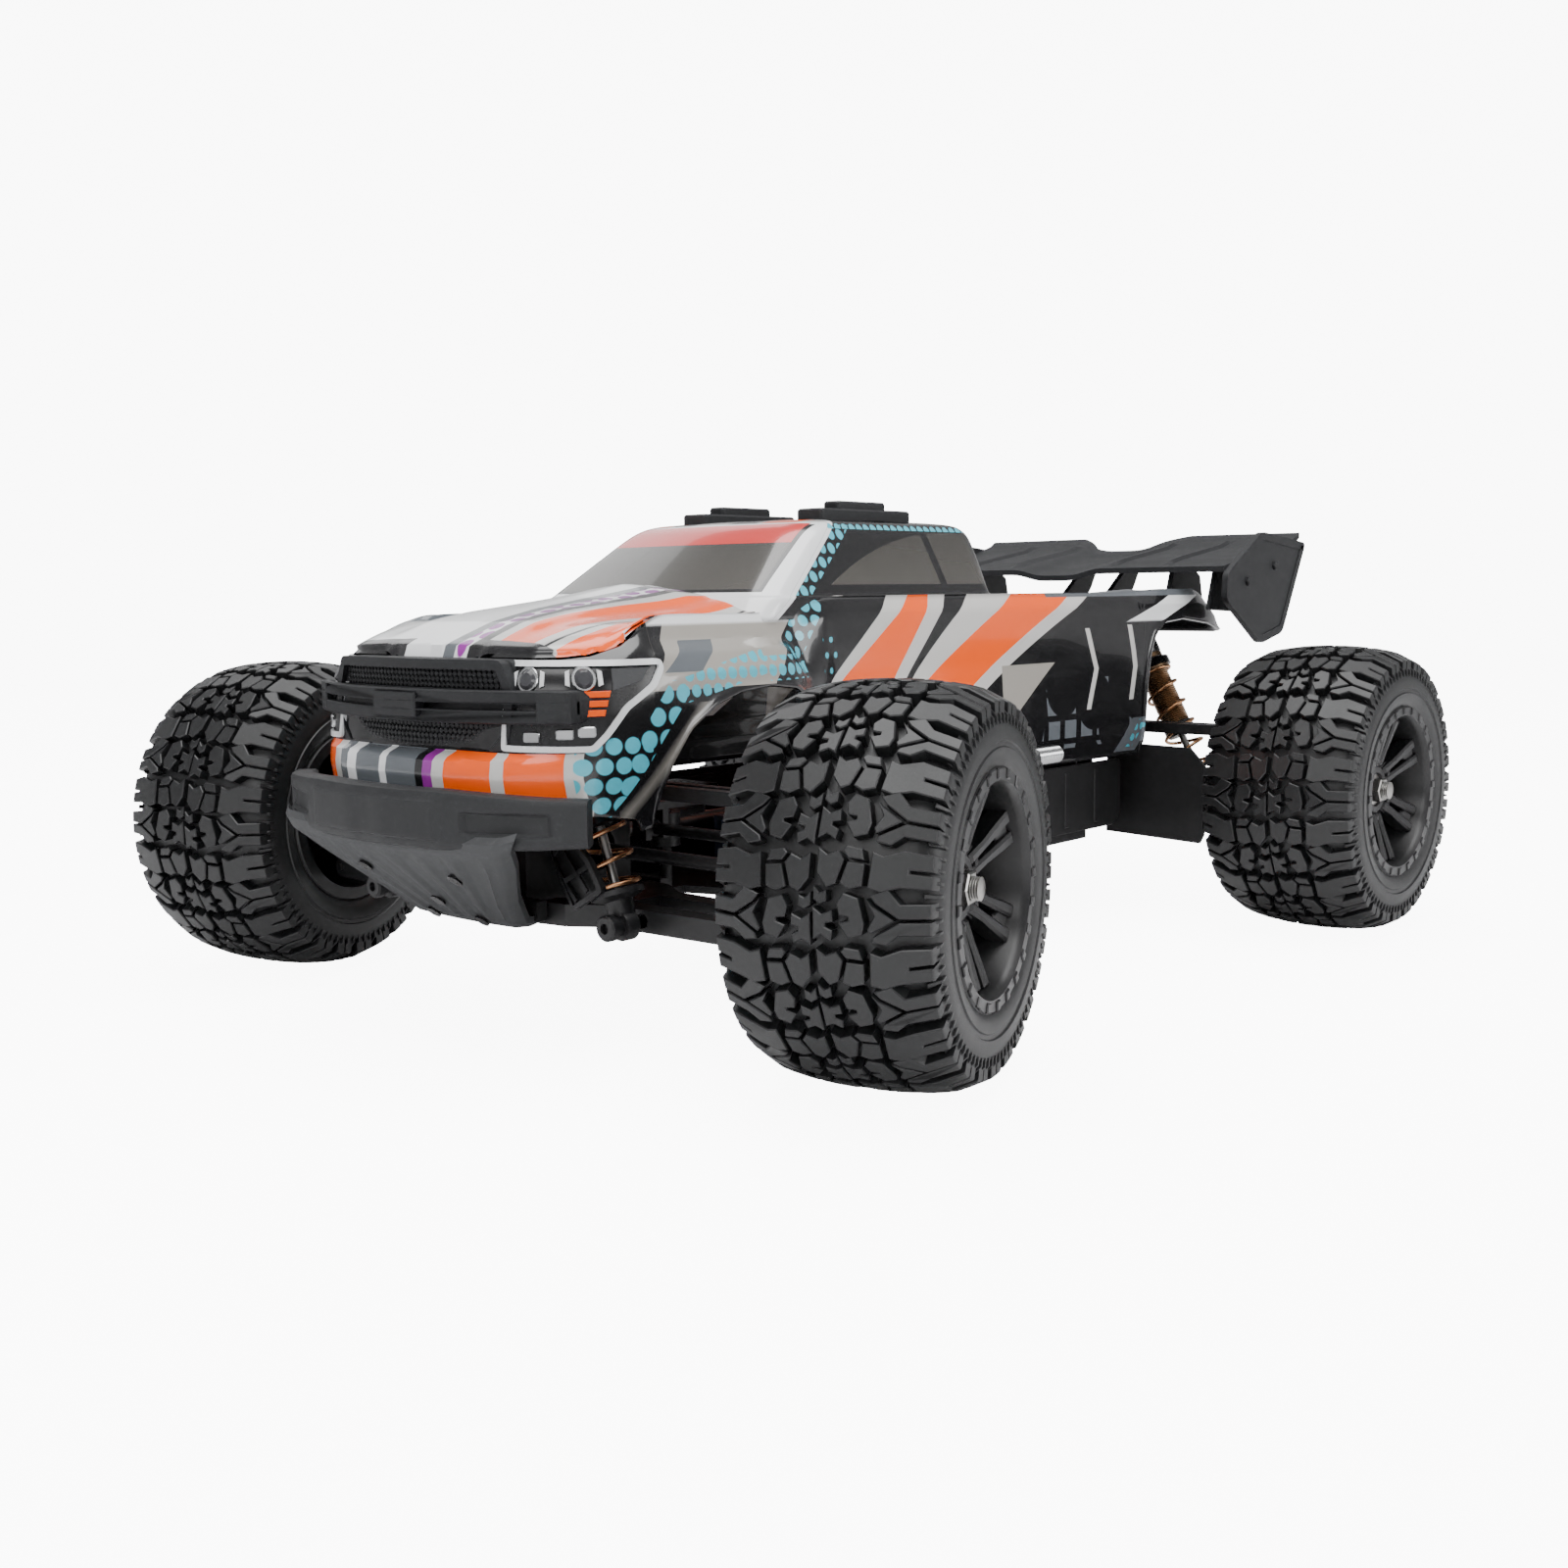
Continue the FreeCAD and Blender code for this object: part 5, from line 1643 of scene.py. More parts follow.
def before_nose(depth: float, bow: float) -> Placer:
    """Make a placer for (x, z, forward) points, bowed back by bow times x squared.

    Args:
        depth: distance in front of the origin.
        bow: how much it is bowed.

    Returns:
        The placer.
    """
    def wrap(points: Array) -> Array:
        """Put the points in front of the truck."""
        x, z, forward = np.moveaxis(np.asarray(points, float), -1, 0)
        return np.stack([x, -(depth + forward) + bow * x ** 2, z], -1)
    return wrap


def outboard(base: float) -> Placer:
    """Make a placer for (y, z, outward) points that stand out from a plane on the left.

    Args:
        base: x of the plane.

    Returns:
        The placer.
    """
    def wrap(points: Array) -> Array:
        """Stand the points out from the base."""
        return np.stack([base + points[..., 2], points[..., 0], points[..., 1]], -1)
    return wrap


def upward(points: Array) -> Array:
    """Keep (x, y, z) points as they are."""
    return np.asarray(points, float)


def mirror_outline(half: Sequence[Sequence[float]]) -> Array:
    """Closed anticlockwise outline from its right half, listed upwards."""
    right = np.asarray(half, float)
    return np.concatenate([right, right[::-1] * (-1, 1)])


def rectangle(left: float, low: float, right: float, high: float) -> Array:
    """Anticlockwise rectangle."""
    return np.array([(left, low), (right, low), (right, high), (left, high)], float)


@dataclass(frozen=True)
class Grille:
    """Framed fields of small hexagons above and below a long cross bar with a recessed groove."""

    depth: float = 238.0
    bow: float = 0.0021
    frame_width: float = 3.4
    cell: float = 1.12
    across: float = 2.3
    up: float = 1.95
    first_row: float = 105.6
    rows: int = 17
    bar_depth: float = 245.0
    bar_bow: float = 0.0037
    bar_zone: tuple[float, float] = (115.4, 128.6)

    def fields(self) -> Shape:
        """Backing plate, its frame, and hexagons in staggered rows but for the bar's zone.

        Returns:
            The fields.
        """
        place = before_nose(self.depth, self.bow)
        half = ((40, 102.6), (48.5, 111), (50.6, 127), (45.6, 138))
        outline = densify(round_corners(mirror_outline(half), 2.5), 2.5)
        shape = Shape().prism(outline, place, -8, 1.6, 0.4)
        shape.join(band(outline, self.frame_width, 0, 4.6, place))
        hexagon = circle(self.cell, 6)
        heights = self.first_row + np.arange(self.rows) * self.up
        for row, z in enumerate(heights):
            if self.bar_zone[0] < z < self.bar_zone[1]:
                continue
            reach = np.interp(z, (102, 111, 127, 138), (36, 44.6, 46.5, 42))
            for x in np.arange(-reach + 1.2 * (row % 2), reach, self.across):
                shape.prism(hexagon + (x, z), place, 1.2, 2.5, 0.25)
        return shape

    def bar(self) -> Shape:
        """Cross bar, with raised lips, end blocks and a plain middle block.

        Returns:
            The bar.
        """
        place = before_nose(self.bar_depth, self.bar_bow)
        half = ((69.6, 116.6), (71.2, 119), (71.2, 125.6), (69.6, 128))
        shape = Shape().prism(densify(round_corners(mirror_outline(half), 1.2), 3), place, -7, 1.4, 0.3)
        raised = (rectangle(-71, 116.8, 71, 121.3), rectangle(-71, 123.6, 71, 128),
                  rectangle(-71.2, 117, -60, 127.8), rectangle(60, 117, 71.2, 127.8),
                  rectangle(-12, 118, 12, 127))
        for corners in raised:
            shape.prism(densify(round_corners(corners, 0.8), 3), place, 0, 4.2, 0.5)
        return shape

    def build(self, finishes: Finishes) -> None:
        """Make the grille."""
        piece = self.fields().join(self.bar()).build("grille_look", 30)
        keep(piece, "chassis", "trim_plastic", finishes.trim, replaces=["grille"])


class LampPaint(IntEnum):
    """Order of a headlight's finishes in its material slots."""

    BED = 0
    RIM = 1
    LENS = 2
    SILVER = 3
    WEDGE = 4
    AMBER = 5


@dataclass(frozen=True)
class Headlight:
    """Left headlight and its twin, laid on the shell's corner."""

    form: ShellForm
    rim_width: float = 2.0
    bezel_radius: float = 4.3
    lens_radius: float = 3.3
    columns: int = 40
    bars: int = 3

    def place(self, points: Array) -> Array:
        """Lift (arc length, height, lift) points off the wall."""
        return self.form.wall(points[..., 0], points[..., 1], points[..., 2])

    def bed(self) -> Shape:
        """Black bed between the rim's lower corners and the hood, with the white rim round it.

        Returns:
            The bed and rim.
        """
        at_x, at_y = self.form.u_at_x, self.form.u_at_y
        corners = [(at_x(47), 107.8), (at_y(-221), 107.4), (at_y(-216), 112.6), (at_y(-209.5), 121.0),
                   (at_y(-198.6), 128.0), (at_y(-194), 134.6), (at_y(-195), 137.6), (at_x(47), 137.8)]
        outline = densify(round_corners(np.array(corners), 1.8), 1.6)
        rows = np.linspace(0, 1, 14)[None, :, None]
        foot = np.array(corners[:6])
        along = np.linspace(foot[0, 0], at_y(-194.6), self.columns)
        low = np.column_stack([along, np.interp(along, foot[:, 0], foot[:, 1])])
        high = np.column_stack([along, np.full(self.columns, 137.4)])
        surface = low[:, None] * (1 - rows) + high[:, None] * rows
        lift = np.full(surface.shape[:2] + (1,), 0.25)
        shape = Shape().grid(self.place(np.concatenate([surface, lift], -1)))
        return shape.join(band(outline, self.rim_width, -0.3, 1.3, self.place, LampPaint.RIM))

    def add_projectors(self, shape: Shape) -> None:
        """Add two round lenses, each in a silver bezel with a white wing on either side.

        Args:
            shape: the lamp.
        """
        for u, z in ((self.form.u_at_x(56.2), 131.6), (self.form.u_at_y(-223.2), 131.8)):
            shape.paint = LampPaint.SILVER
            shape.prism(circle(self.bezel_radius, 22) + (u, z), self.place, 0.2, 1.1, 0.3)
            shape.paint = LampPaint.LENS
            shape.prism(circle(self.lens_radius, 22) + (u, z), self.place, 0.2, 2.3, 1.1)
            shape.paint = LampPaint.RIM
            for side in (-1, 1):
                wing = np.array([(side * 4.9, -2.8), (side * 6.6, -2.2), (side * 6.6, 2.2),
                                 (side * 4.9, 2.8)])
                shape.prism(wing[::side] + (u, z), self.place, 0.2, 1.0, 0.2)

    def add_lamps(self, shape: Shape) -> None:
        """Add the amber bars, the silver fog lamps and the dark wedge behind them.

        Args:
            shape: the lamp.
        """
        at_x, at_y = self.form.u_at_x, self.form.u_at_y
        shape.paint = LampPaint.AMBER
        for step in range(self.bars):
            z = 119.2 + step * 3.1
            strip = np.array([(at_y(-226), z), (at_y(-217.5) + step, z), (at_y(-217) + step, z + 2.1),
                              (at_y(-226), z + 2.1)])
            shape.prism(densify(strip, 2), self.place, 0.2, 1.0, 0.15)
        shape.paint = LampPaint.SILVER
        fog = round_corners(rectangle(-3.0, -1.7, 3.0, 1.9), 1.0)
        for u, z in ((at_x(58), 112.6), (at_x(66.5), 113.4), (at_y(-223), 114.0)):
            shape.prism(fog + (u, z), self.place, 0.2, 1.4, 0.4)
        shape.paint = LampPaint.WEDGE
        wedge = np.array([(at_y(-214.5), 127.4), (at_y(-203.5), 130.4), (at_y(-200), 134.8),
                          (at_y(-214), 134.8)])
        shape.prism(densify(wedge, 2), self.place, 0.2, 0.8, 0.2)

    def build(self, finishes: Finishes) -> None:
        """Make the lamp and its twin.

        Args:
            finishes: the truck's materials.
        """
        shape = self.bed()
        self.add_projectors(shape)
        self.add_lamps(shape)
        for name, part in (("left", shape), ("right", shape.mirrored())):
            keep(part.build(f"headlight_{name}"), "chassis", "shell_paint", finishes.black, finishes.white,
                 finishes.lens, finishes.chrome, finishes.skid, finishes.amber)


def step_up(value: Array, edge: float, soft: float = 0.5) -> Array:
    """Smooth step from 0 to 1 at an edge: 1 / (1 + exp(-3 (value - edge) / soft))."""
    return 1 / (1 + np.exp(-(value - edge) / soft * 3))


@dataclass(frozen=True)
class Bumper:
    """Curved bumper bar with a raised middle panel and two slots, and the ribbed skid below it."""

    middle: float = 85.5
    panel_reach: float = 36.0
    panel_rise: float = 1.2
    slot: tuple[float, float] = (45.0, 78.0)
    slot_depth: float = 1.6
    taper: float = 0.22
    skid_ribs: int = 7
    skid_thickness: float = 2.4
    screw: float = 2.9

    def bar(self) -> Shape:
        """Bar swept round the nose.

        The section is carried along the outline at its outward normal. Its front is pushed back by the
        slot's depth inside each slot and forward by the panel's rise inside the panel; s is the arc length
        from the middle. The bar's height shrinks toward its ends by the taper.

        Returns:
            The bar.
        """
        half = catmull(np.array([(0, -261.6), (14, -261.4), (42, -256.6), (68, -247.2), (84, -235.6)]), 16)
        path = np.concatenate([half[:0:-1] * (-1, 1), half])
        s = np.concatenate([[0], np.cumsum(np.linalg.norm(np.diff(path, axis=0), axis=1))])
        s -= s[-1] / 2
        tangent = np.gradient(path, axis=0)
        tangent /= np.linalg.norm(tangent, axis=1, keepdims=True)
        normal = np.stack([tangent[:, 1], -tangent[:, 0]], -1)
        front = np.column_stack([np.zeros(22), np.linspace(78.5, 92.5, 22)])
        section = np.concatenate([[(-9, 77.5), (-9, 76.4), (-8, 75.6), (-2, 75.4), (-0.6, 76.2), (0, 77.6)],
                                  front,
                                  [(0, 93.6), (-0.6, 94.9), (-2, 95.6), (-8, 95.4), (-9, 94.4), (-9, 93)]])
        out, z = section[:, 0][None, :], section[:, 1][None, :]
        shrink = 1 - self.taper * np.clip((np.abs(s) - 34) / 56, 0, 1)
        height = self.middle + (z - self.middle) * shrink[:, None]
        reach = np.abs(s)[:, None]
        slot = (step_up(reach, self.slot[0]) * (1 - step_up(reach, self.slot[1]))
                * step_up(height, 81.6) * (1 - step_up(height, 88.6)))
        panel = ((1 - step_up(reach, self.panel_reach, 0.8))
                 * step_up(height, 78.8) * (1 - step_up(height, 92.4)))
        push = out + np.where(out == 0, self.panel_rise * panel - self.slot_depth * slot, 0.0)
        points = np.concatenate([path[:, None] + normal[:, None] * push[..., None], height[..., None]], -1)
        shape = Shape().grid(points, close_columns=True)
        count, columns = points.shape[:2]
        shape.faces += [list(range(columns))[::-1], [(count - 1) * columns + k for k in range(columns)]]
        shape.paints += [0, 0]
        return shape

    def skid_line(self, t: Array) -> tuple[Array, Array]:
        """Y and z of the skid's middle line at shares of its length, from the bar back to the plate."""
        lines = ((-257.5, -256.5, -221, -213.2), (77.5, 73.5, 42.2, 41.2))
        return tuple(np.interp(t, (0, 0.08, 0.86, 1), line) for line in lines)

    def skid(self) -> Shape:
        """Ribbed skid plate.

        The middle line is carried sideways to a width that shrinks to the rear. The plate falls off with x
        squared, its edges curl up, and the ribs are a smooth step of a cosine across it.

        Returns:
            The skid.
        """
        t = np.linspace(0, 1, 36)
        side = np.linspace(-1, 1, 61)
        width = np.interp(t, (0, 0.25, 0.6, 0.85, 1), (66, 57, 40, 31, 28))
        y, z = self.skid_line(t)
        x = side[None, :] * width[:, None]
        curl = (1 - np.clip((1 - np.abs(side)) / 0.10, 0, 1)) ** 2 * 4.0
        wave = np.cos(side * math.pi * self.skid_ribs)
        ribs = 0.9 / (1 + np.exp(-(wave - 0.45) * 14)) * (np.abs(side) < 0.86)
        fall = 0.0012 * x ** 2 + curl[None, :]
        depth = ribs[None, :] * np.clip(np.minimum(t - 0.12, 0.82 - t) * 20, 0, 1)[:, None]
        press = depth * 0.6
        skin = np.stack([x, y[:, None] + fall * 0.7 - press, z[:, None] + fall * 0.35 - press], -1)
        inside = skin + (0, 1.2, self.skid_thickness)
        shape = Shape()
        shape.paint = 1
        shape.grid(skin).grid(inside, flip=True)
        for sign, place in ((1, 0), (-1, -1)):
            shape.grid(np.stack([skin[:, place], inside[:, place]], 1), flip=sign < 0)
            shape.grid(np.stack([skin[place], inside[place]], 1), flip=sign > 0)
        return shape

    def screws(self) -> Shape:
        """Five countersunk screws along the skid, each a short tube square to the plate.

        Returns:
            The screws.
        """
        shape = Shape()
        square = np.array([0, -0.66, -0.75])
        for x, t in ((0, 0.62), (-26, 0.34), (26, 0.34), (-14, 0.8), (14, 0.8)):
            y, z = self.skid_line(t)
            start = np.array([x, y + 0.0008 * x * x, z + 0.0004 * x * x])
            shape.tube(np.array([start + square * 0.6, start + square * 1.3]), self.screw, 20,
                       helper=(1, 0, 0))
        return shape

    def build(self, finishes: Finishes) -> None:
        """Make the bumper with its skid, and the screws.

        Args:
            finishes: the truck's materials.
        """
        piece = self.bar().join(self.skid()).build("bumper_look", 35)
        keep(piece, "chassis", "bumper_plastic", finishes.bumper, finishes.skid, replaces=["front_bumper"])
        keep(self.screws().build("skid_screws", 30), "chassis", "bumper_plastic", finishes.black)


@dataclass(frozen=True)
class Wing:
    """Wing blade with a notch behind and raised ribs, and its end plates."""

    half_width: float = 97.0
    front: float = 175.5
    thickness: float = 2.8
    plate: float = 2.6
    rim_width: float = 4.0
    lug: float = 2.4

    def blade(self) -> Shape:
        """Blade between its two ends.

        The chord runs from the front edge to a rear edge that is notched in the middle. The height follows
        the chord, dips in the middle, and rises by two pairs of ribs and by a lip at the rear.

        Returns:
            The blade.
        """
        side = np.linspace(-self.half_width, self.half_width, 119)
        x, c = np.meshgrid(side, np.linspace(0, 1, 40), indexing="ij")
        reach = np.abs(x)
        tail = np.interp(reach, (0, 16, 22, 34, 97), (246, 246, 252, 262.2, 261))
        y = self.front + (tail - self.front) * c
        dip = 3.4 * np.exp(-(reach / 19) ** 4)
        z = np.interp(y, (175, 196, 238, 262), (169.6, 173.8, 180.0, 186.4)) - dip
        rib = np.exp(-((reach - 30) / 2.2) ** 6) + np.exp(-((reach - 62) / 1.6) ** 6)
        z = z + 1.6 * rib * np.clip(np.minimum(c - 0.06, 0.9 - c) * 14, 0, 1)
        z = z + 1.5 * np.clip((c - 0.94) * 16, 0, 1)
        top = np.stack([x, y, z], -1)
        low = top - np.array([0, 0, self.thickness])
        shape = Shape().grid(top, flip=True).grid(low)
        shape.grid(np.stack([top[0], low[0]], 1)).grid(np.stack([top[-1], low[-1]], 1), flip=True)
        shape.grid(np.stack([top[:, 0], low[:, 0]], 1), flip=True).grid(np.stack([top[:, -1], low[:, -1]], 1))
        return shape

    def plates(self) -> Shape:
        """Left end plate with its raised rim and two lugs.

        Returns:
            The left plate.
        """
        end = np.array([(210.6, 187.1), (173.8, 166.3), (172.8, 153.3), (211.6, 130.3), (236.5, 135.6),
                        (262.2, 182.1)])
        outline = round_corners(end, 4.0, 6)
        place = outboard(self.half_width)
        shape = Shape().prism(outline, place, 0, self.plate, 0.6)
        shape.join(band(outline, self.rim_width, 2.0, 3.1, place))
        for y, z in ((196, 162), (226, 170)):
            shape.prism(circle(self.lug, 6) + (y, z), place, 2.4, 4.2, 0.4)
        return shape

    def build(self, finishes: Finishes) -> None:
        """Make the wing.

        Args:
            finishes: the truck's materials.
        """
        plates = self.plates()
        shape = self.blade().join(plates).join(plates.mirrored())
        keep(shape.build("wing_look", 30), "chassis", "trim_plastic", finishes.trim, replaces=["rear_wing"])


@dataclass(frozen=True)
class RoofSkids:
    """Two roof pads, each with a raised cap."""

    places: tuple[float, float] = (-33, 33)
    steps: tuple[tuple[float, ...], ...] = ((7, -65, -5, 187.0, 193.4), (4.4, -51, -19, 193.0, 196.8))
    corner: float = 2.0

    def build(self, finishes: Finishes) -> None:
        """Make the pads: each step has a half width, a front and rear y, a base and a top.

        Args:
            finishes: the truck's materials.
        """
        shape = Shape()
        for x in self.places:
            for half, front, rear, base, top in self.steps:
                pad = round_corners(rectangle(x - half, front, x + half, rear), self.corner)
                shape.prism(pad, upward, base, top, 0.8)
        piece = shape.build("roof_skids_look", 30)
        keep(piece, "chassis", "trim_plastic", finishes.trim, replaces=["roof_skids"])


@dataclass(frozen=True)
class SideTrim:
    """Side guards along the tray, gussets under the wing and the knurled body knobs."""

    guard_x: float = 68.05
    gusset_places: tuple[tuple[float, float], ...] = ((60.0, 2.4), (84.0, 2.0))
    knob_centre: tuple[float, float] = (71.9, 84.0)
    knob_ridges: int = 30

    def guard(self) -> Shape:
        """Left guard: a plate with a raised frame and three upright ribs.

        Returns:
            The left guard.
        """
        place = outboard(self.guard_x)
        outline = np.array([(-116, 45), (120, 45), (125.5, 50), (125.5, 77), (-112, 77), (-116, 70)])
        frame = densify(round_corners(rectangle(-104, 49, 38, 73), 3), 8)
        shape = Shape().prism(densify(round_corners(outline, 2.5), 12), place, 0, 1.6, 0.5)
        shape.join(band(frame, 1.6, 1.2, 2.3, place))
        for y in (48, 74, 100):
            shape.prism(densify(rectangle(y, 48, y + 4, 74), 8), place, 1, 2.2, 0.4)
        return shape

    def gussets(self) -> Shape:
        """Left pair of upright fins under the wing.

        Returns:
            The left pair.
        """
        corners = np.array([(182, 148), (214, 146.6), (222, 149), (218, 166), (203, 172.4), (189, 168.5)])
        fin = densify(round_corners(corners, 2), 4)
        shape = Shape()
        for base, thickness in self.gusset_places:
            shape.prism(fin, outboard(base), 0, thickness, 0.6)
        return shape

    def knob(self) -> Shape:
        """Left knob: a turned profile whose ridges alternate between two radii.

        Returns:
            The left knob.
        """
        wave = np.arange(self.knob_ridges)
        knurl = np.column_stack([43 + wave * 0.68, np.where(wave % 2, 4.1, 3.8)])
        profile = np.concatenate([[(42, 0.1), (42, 3.4)], knurl, [(64, 3.2), (64, 0.1)]])
        x, z = self.knob_centre

        def along(points: Array) -> Array:
            """Lay (along y, across, up) points on the knob's axis."""
            return np.stack([x - points[..., 1], points[..., 0], z + points[..., 2]], -1)

        return Shape().lathe(profile, along, 24)

    def build(self, finishes: Finishes) -> None:
        """Make the guards, the gussets and the knobs on both sides.

        Args:
            finishes: the truck's materials.
        """
        for shape, name, slot, finish in ((self.guard(), "side_guards", "tray_plastic", finishes.tray),
                                          (self.gussets(), "wing_gussets", "trim_plastic", finishes.trim),
                                          (self.knob(), "body_knobs", "shaft_steel", finishes.chrome)):
            keep(shape.join(shape.mirrored()).build(name), "chassis", slot, finish)


@dataclass(frozen=True)
class Shock:
    """Shock absorber: turned body, coil spring, steel shaft with its cup and eye, and a shield in front."""

    end: End
    side: Side
    wire: float = 0.85
    coil_radius: float = 8.4
    rod: float = 1.75
    spring_top: float = 18.6
    cup: float = 12.6
    bolt: float = 7.4

    @property
    def line(self) -> tuple[Array, Array]:
        """Upper and lower eye on the left side.

        Returns:
            The two eyes.
        """
        if self.end is End.FRONT:
            return np.array([40.0, -204.0, 122.0]), np.array([67.0, -204.0, 46.0])
        return np.array([46.0, 184.0, 132.0]), np.array([90.0, 184.0, 48.0])

    @property
    def length(self) -> float:
        """Distance between the eyes."""
        top, low = self.line
        return float(np.linalg.norm(low - top))

    def place(self, points: Array) -> Array:
        """Put (down the shock, along the truck, sideways) points in the truck's frame.

        Args:
            points: local points, shape (..., 3).

        Returns:
            Points in the truck's frame.
        """
        top, low = self.line
        down = (low - top) / self.length
        along = np.array([0.0, 1.0, 0.0])
        axes = np.stack([down, along, np.cross(down, along)])
        return np.asarray(points, float) @ axes + top

    def body(self) -> Shape:
        """Cap, gold rings, knurled collar and threaded tube.

        Returns:
            The body.
        """
        long = 46.0 if self.end is End.FRONT else 54.0
        cap = ((-3, 0.1), (-3, 6.2), (-1, 7.8), (8.6, 7.8), (9.6, 7.2), (9.6, 0.1))
        wave = np.arange(14)
        knurl = np.column_stack([12.6 + wave * 0.33, np.where(wave % 2, 10.0, 9.5)])
        foot = ((long - 6, 5), (long - 6, 7.7), (long - 1, 7.7), (long, 6.6), (long, 1.9))
        shape = Shape().lathe(np.array(cap), self.place, 40)
        shape.lathe(np.concatenate([[(12.6, 5)], knurl, [(16.9, 5)]]), self.place, 40)
        shape.lathe(np.array(foot), self.place, 36)
        shape.paint = 1
        for start, end, radius in ((9.6, 11.6, 7.6), (17.0, 18.0, 8.6)):
            shape.lathe(np.array([(start, 5), (start, radius), (end, radius), (end, 5)]), self.place, 36)
        turns = np.arange(int((long - 24) / 0.5))
        thread = np.column_stack([18 + turns * 0.5, np.where(turns % 2, 7.0, 6.6)])
        shape.lathe(np.concatenate([[(18, 5)], thread, [(long - 6, 6.6), (long - 6, 5)]]), self.place, 32)
        return shape

    def spring(self) -> Shape:
        """Coil spring: a helix round the shock's line, whose end turns are closed.

        Returns:
            The spring.
        """
        coils = 5.6 if self.end is End.FRONT else 6.6
        t = np.linspace(0, 1, 360)
        travel = self.length - self.cup - 0.9 - self.spring_top
        turn = t * coils * math.tau
        path = np.column_stack([self.spring_top + travel * np.clip(t * 1.16 - 0.08, 0, 1),
                                self.coil_radius * np.cos(turn), self.coil_radius * np.sin(turn)])
        top, low = self.line
        return Shape().tube(self.place(path), self.wire, 12, helper=(low - top) / self.length)

    def shaft(self) -> Shape:
        """Steel rod, black cup and eye, large bolt, and the front one's shield.

        Returns:
            The shaft.
        """
        long = self.length
        rod = ((40, 0.1), (40, self.rod), (long - 10, self.rod), (long - 10, 0.1))
        cup = ((long - self.cup, 1.9), (long - self.cup, 8.0), (long - 12.0, 9.6), (long - 10.2, 9.6),
               (long - 8.6, 5.2), (long - 3, 4.4), (long - 3, 0.1))
        shape = Shape().lathe(np.array(rod), self.place, 24)
        shape.paint = 1
        shape.lathe(np.array(cup), self.place, 40)
        self.add_eye(shape)
        if self.end is End.FRONT:
            self.add_shield(shape)
        return shape

    def add_eye(self, shape: Shape) -> None:
        """Add the lower eye with its large bolt, which points away from the truck's middle.

        Args:
            shape: the shaft.
        """
        forward = -1.0 if self.end is End.FRONT else 1.0
        neck = self.bolt - 0.8

        def across(points: Array) -> Array:
            """Put (away from the arm, across, up) points at the lower eye."""
            away, side, up = np.moveaxis(np.asarray(points, float), -1, 0)
            return self.line[1] + np.stack([forward * -side, forward * away, up], -1)

        eye = ((-2.7, 0.1), (-2.7, 4.6), (-2, 5.4), (2.4, 5.4), (3.4, 5.0), (3.4, 0.1))
        shank = ((3.4, 0.1), (3.4, 3.4), (neck, 3.4), (neck, 0.1))
        head = ((neck, 0.1), (neck, 4.6), (self.bolt + 1.8, 4.6), (self.bolt + 2.6, 3.9),
                (self.bolt + 2.6, 1.9),
                (self.bolt + 0.6, 1.7), (self.bolt + 0.6, 0.1))
        for profile, steps in ((eye, 32), (shank, 24), (head, 24)):
            shape.lathe(np.array(profile), across, steps)

    def add_shield(self, shape: Shape) -> None:
        """Add the stone shield before the spring: a curved panel with a raised rim and crossing ribs.

        Args:
            shape: the shaft.
        """
        def ahead(points: Array) -> Array:
            """Put (sideways, up the shock, forward) points before the spring.

            Args:
                points: local points, shape (..., 3).

            Returns:
                Points in the truck's frame.
            """
            sideways, up, forward = np.moveaxis(np.asarray(points, float), -1, 0)
            curve = 0.02 * (sideways + 6) ** 2
            return self.place(np.stack([self.length - up, -10.2 - forward + curve, sideways], -1))

        corners = np.array([(-11, 9), (4.5, 12), (2.5, 24), (-8.4, 44), (-17.5, 44), (-17.5, 30)])
        panel = densify(round_corners(corners, 2), 3)
        shape.prism(panel, ahead, 0, 1.4, 0.3)
        shape.join(band(panel, 1.6, 1.0, 2.4, ahead, 1))
        ribs = np.array([((-14, 40), (-2, 14)), ((-16, 30), (-6, 36)), ((-12, 20), (1, 22)),
                         ((-15, 24), (-8, 12))],
                        float)
        for start, end in ribs:
            side = np.array([end[1] - start[1], start[0] - end[0]])
            side *= 0.7 / np.linalg.norm(side)
            outline = np.array([start - side, start + side, end + side, end - side])[::-1]
            shape.prism(outline, ahead, 1.0, 2.2, 0.2)

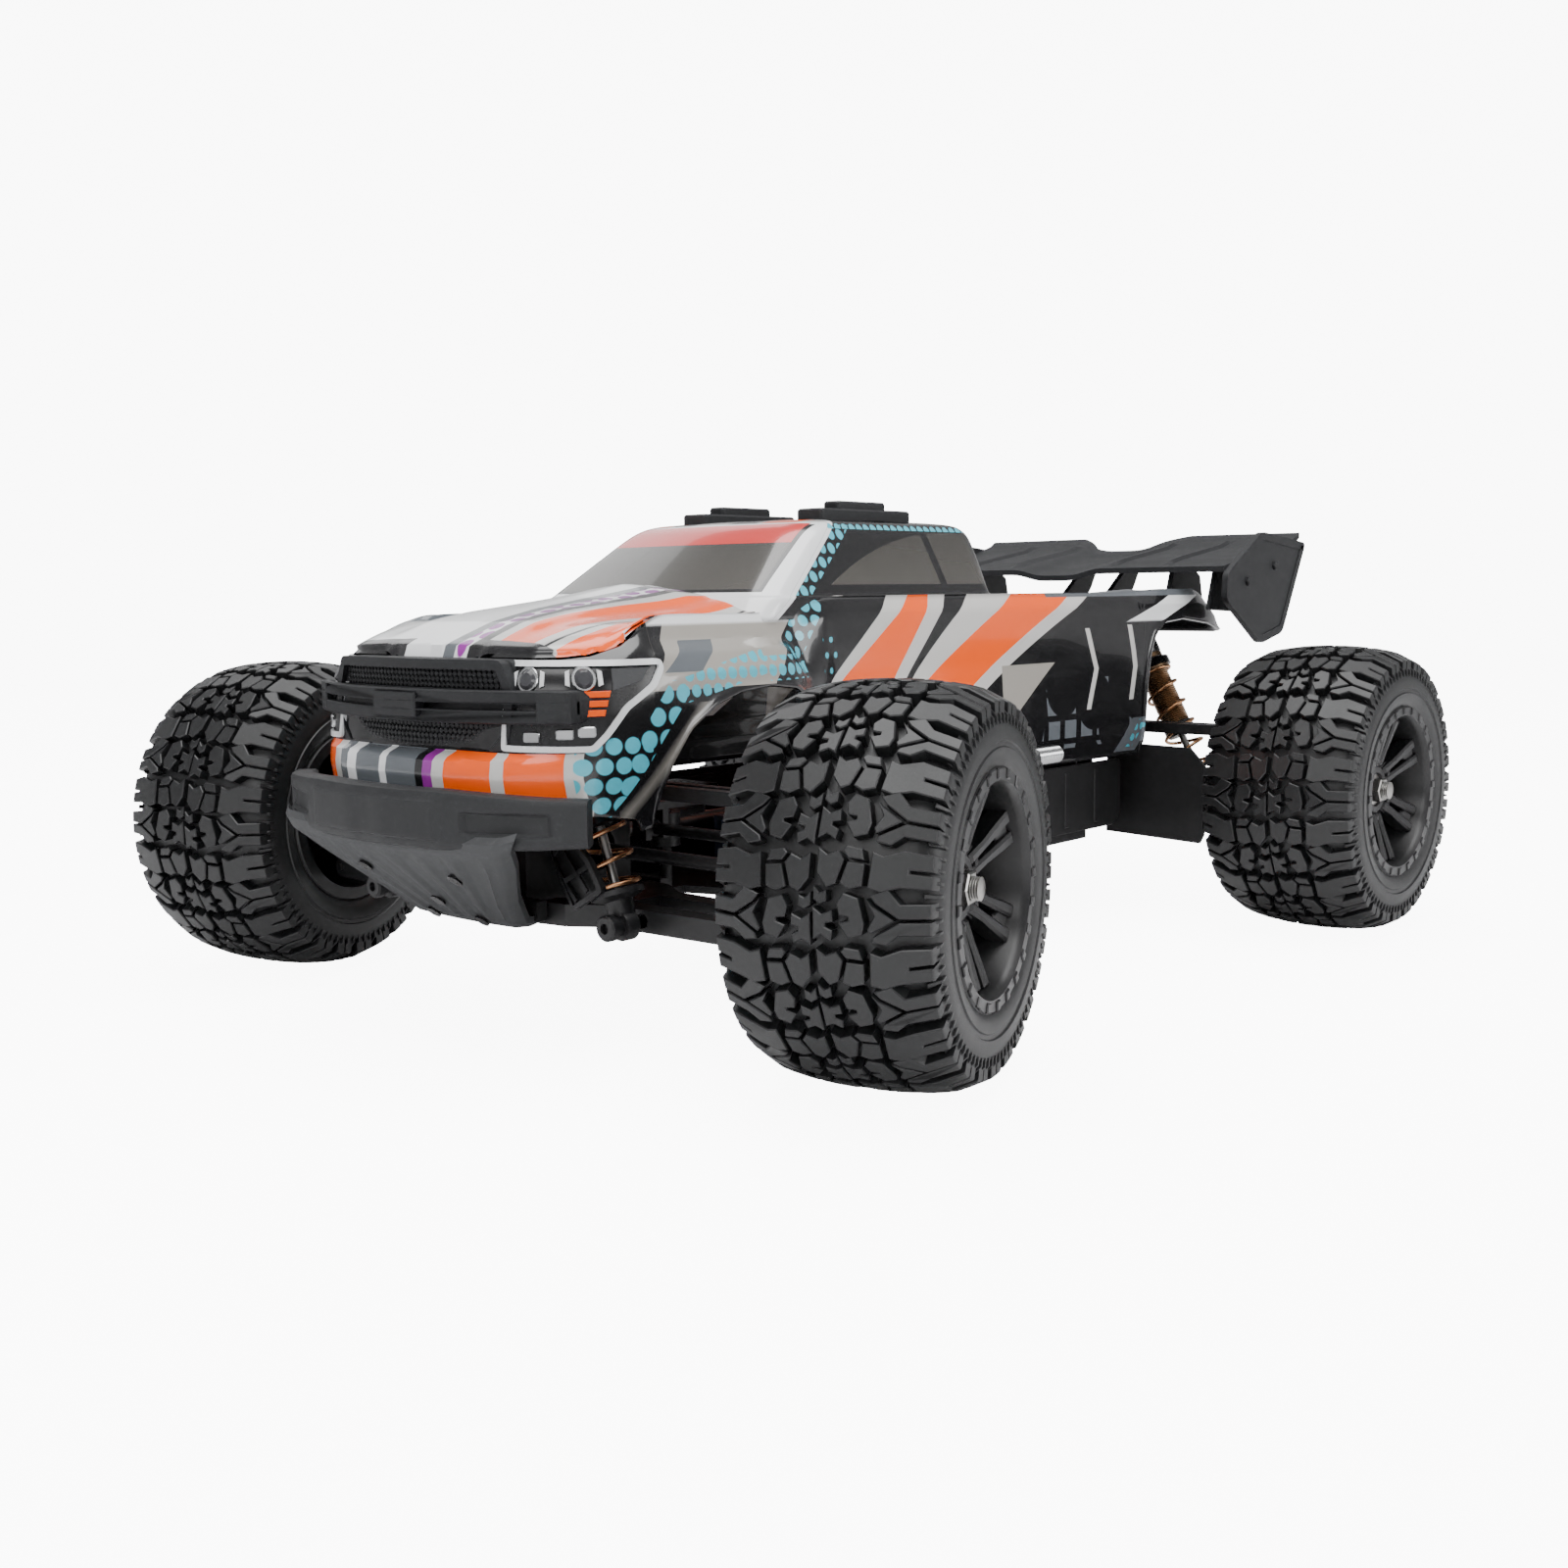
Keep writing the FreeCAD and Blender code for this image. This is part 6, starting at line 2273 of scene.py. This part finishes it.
    def build(self, finishes: Finishes) -> None:
        """Make the shock's pieces; the spring is placed between the body and the shaft's cup and rides on
        neither.

        Args:
            finishes: the truck's materials.
        """
        label = f"{self.end.value}_shock_{{}}_{self.side.word}"
        sign = self.side.value
        parts = {"body": self.body(), "spring": self.spring(), "shaft": self.shaft()}
        pieces = {}
        for key, shape in parts.items():
            shape = shape if self.side is Side.LEFT else shape.mirrored()
            pieces[key] = shape.build(f"{self.end.value}_{self.side.word}_shock_{key}_look")
        keep(pieces["body"], label.format("body"), "shock_bronze", finishes.black, finishes.bronze,
             replaces=[label.format("body")])
        keep(pieces["shaft"], label.format("shaft"), "shock_steel", finishes.steel, finishes.arm,
             replaces=[label.format("shaft")])
        spring = pieces["spring"]
        spring.data.materials.append(finishes.copper)
        top, low = (self.place(np.array([(a, 0.0, 0.0)]))[0] * (sign, 1, 1) * METRE
                    for a in (17.5, self.length - self.cup))
        tuple(top)
        tuple(low)
        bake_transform(spring)
        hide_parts(label.format("spring"))
        LOG.info("%s rides between body and shaft", spring.name)


NODE_FINISH = {
    "chassis": "tray", "gearbox": "tray", "shock_towers": "tray", "front_bumper": "bumper", "grille": "trim",
    "roof_skids": "trim", "rear_wing": "trim", "battery_pack": "battery", "speed_controller": "black",
    "motor": "bronze", "steering_servo": "black", "centre_shaft": "steel", "motor_pinion": "steel",
    "differential": "tray", "arm": "arm", "hub_carrier": "arm", "knuckle": "arm", "drive_shaft": "arm",
    "shock_body": "black", "shock_shaft": "steel", "spring": "copper", "crank": "arm", "saver": "arm",
    "drag_link": "arm", "tie_rod": "arm", "tyre": "rubber", "rim": "rim", "body_shell": "side",
}


def dress(frame: dict, finishes: Finishes) -> None:
    """Give every CAD node a finish through its object's material slots.

    Args:
        finishes: the truck's materials.
    """
    for name, node in frame["nodes"].items():
        label = next(key for key in NODE_FINISH if key in name)
        finish = getattr(finishes, NODE_FINISH[label])
        for slot in node.material_slots:
            slot.link = "OBJECT"
            slot.material = finish


def main() -> None:
    """Build the scene."""
    logging.basicConfig(level=logging.INFO, format="%(message)s")
    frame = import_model()
    finishes = make_finishes()
    dress(frame, finishes)
    for end in End:
        for side in Side:
            Wheel(end, side).build(finishes)
            Shock(end, side).build(finishes)
    shell = Shell()
    shell.build(finishes)
    for part in (Headlight(shell.form), Grille(), Bumper(), Wing(), RoofSkids(), SideTrim()):
        part.build(finishes)
    studio()
    camera()


if __name__ == "__main__":
    main()
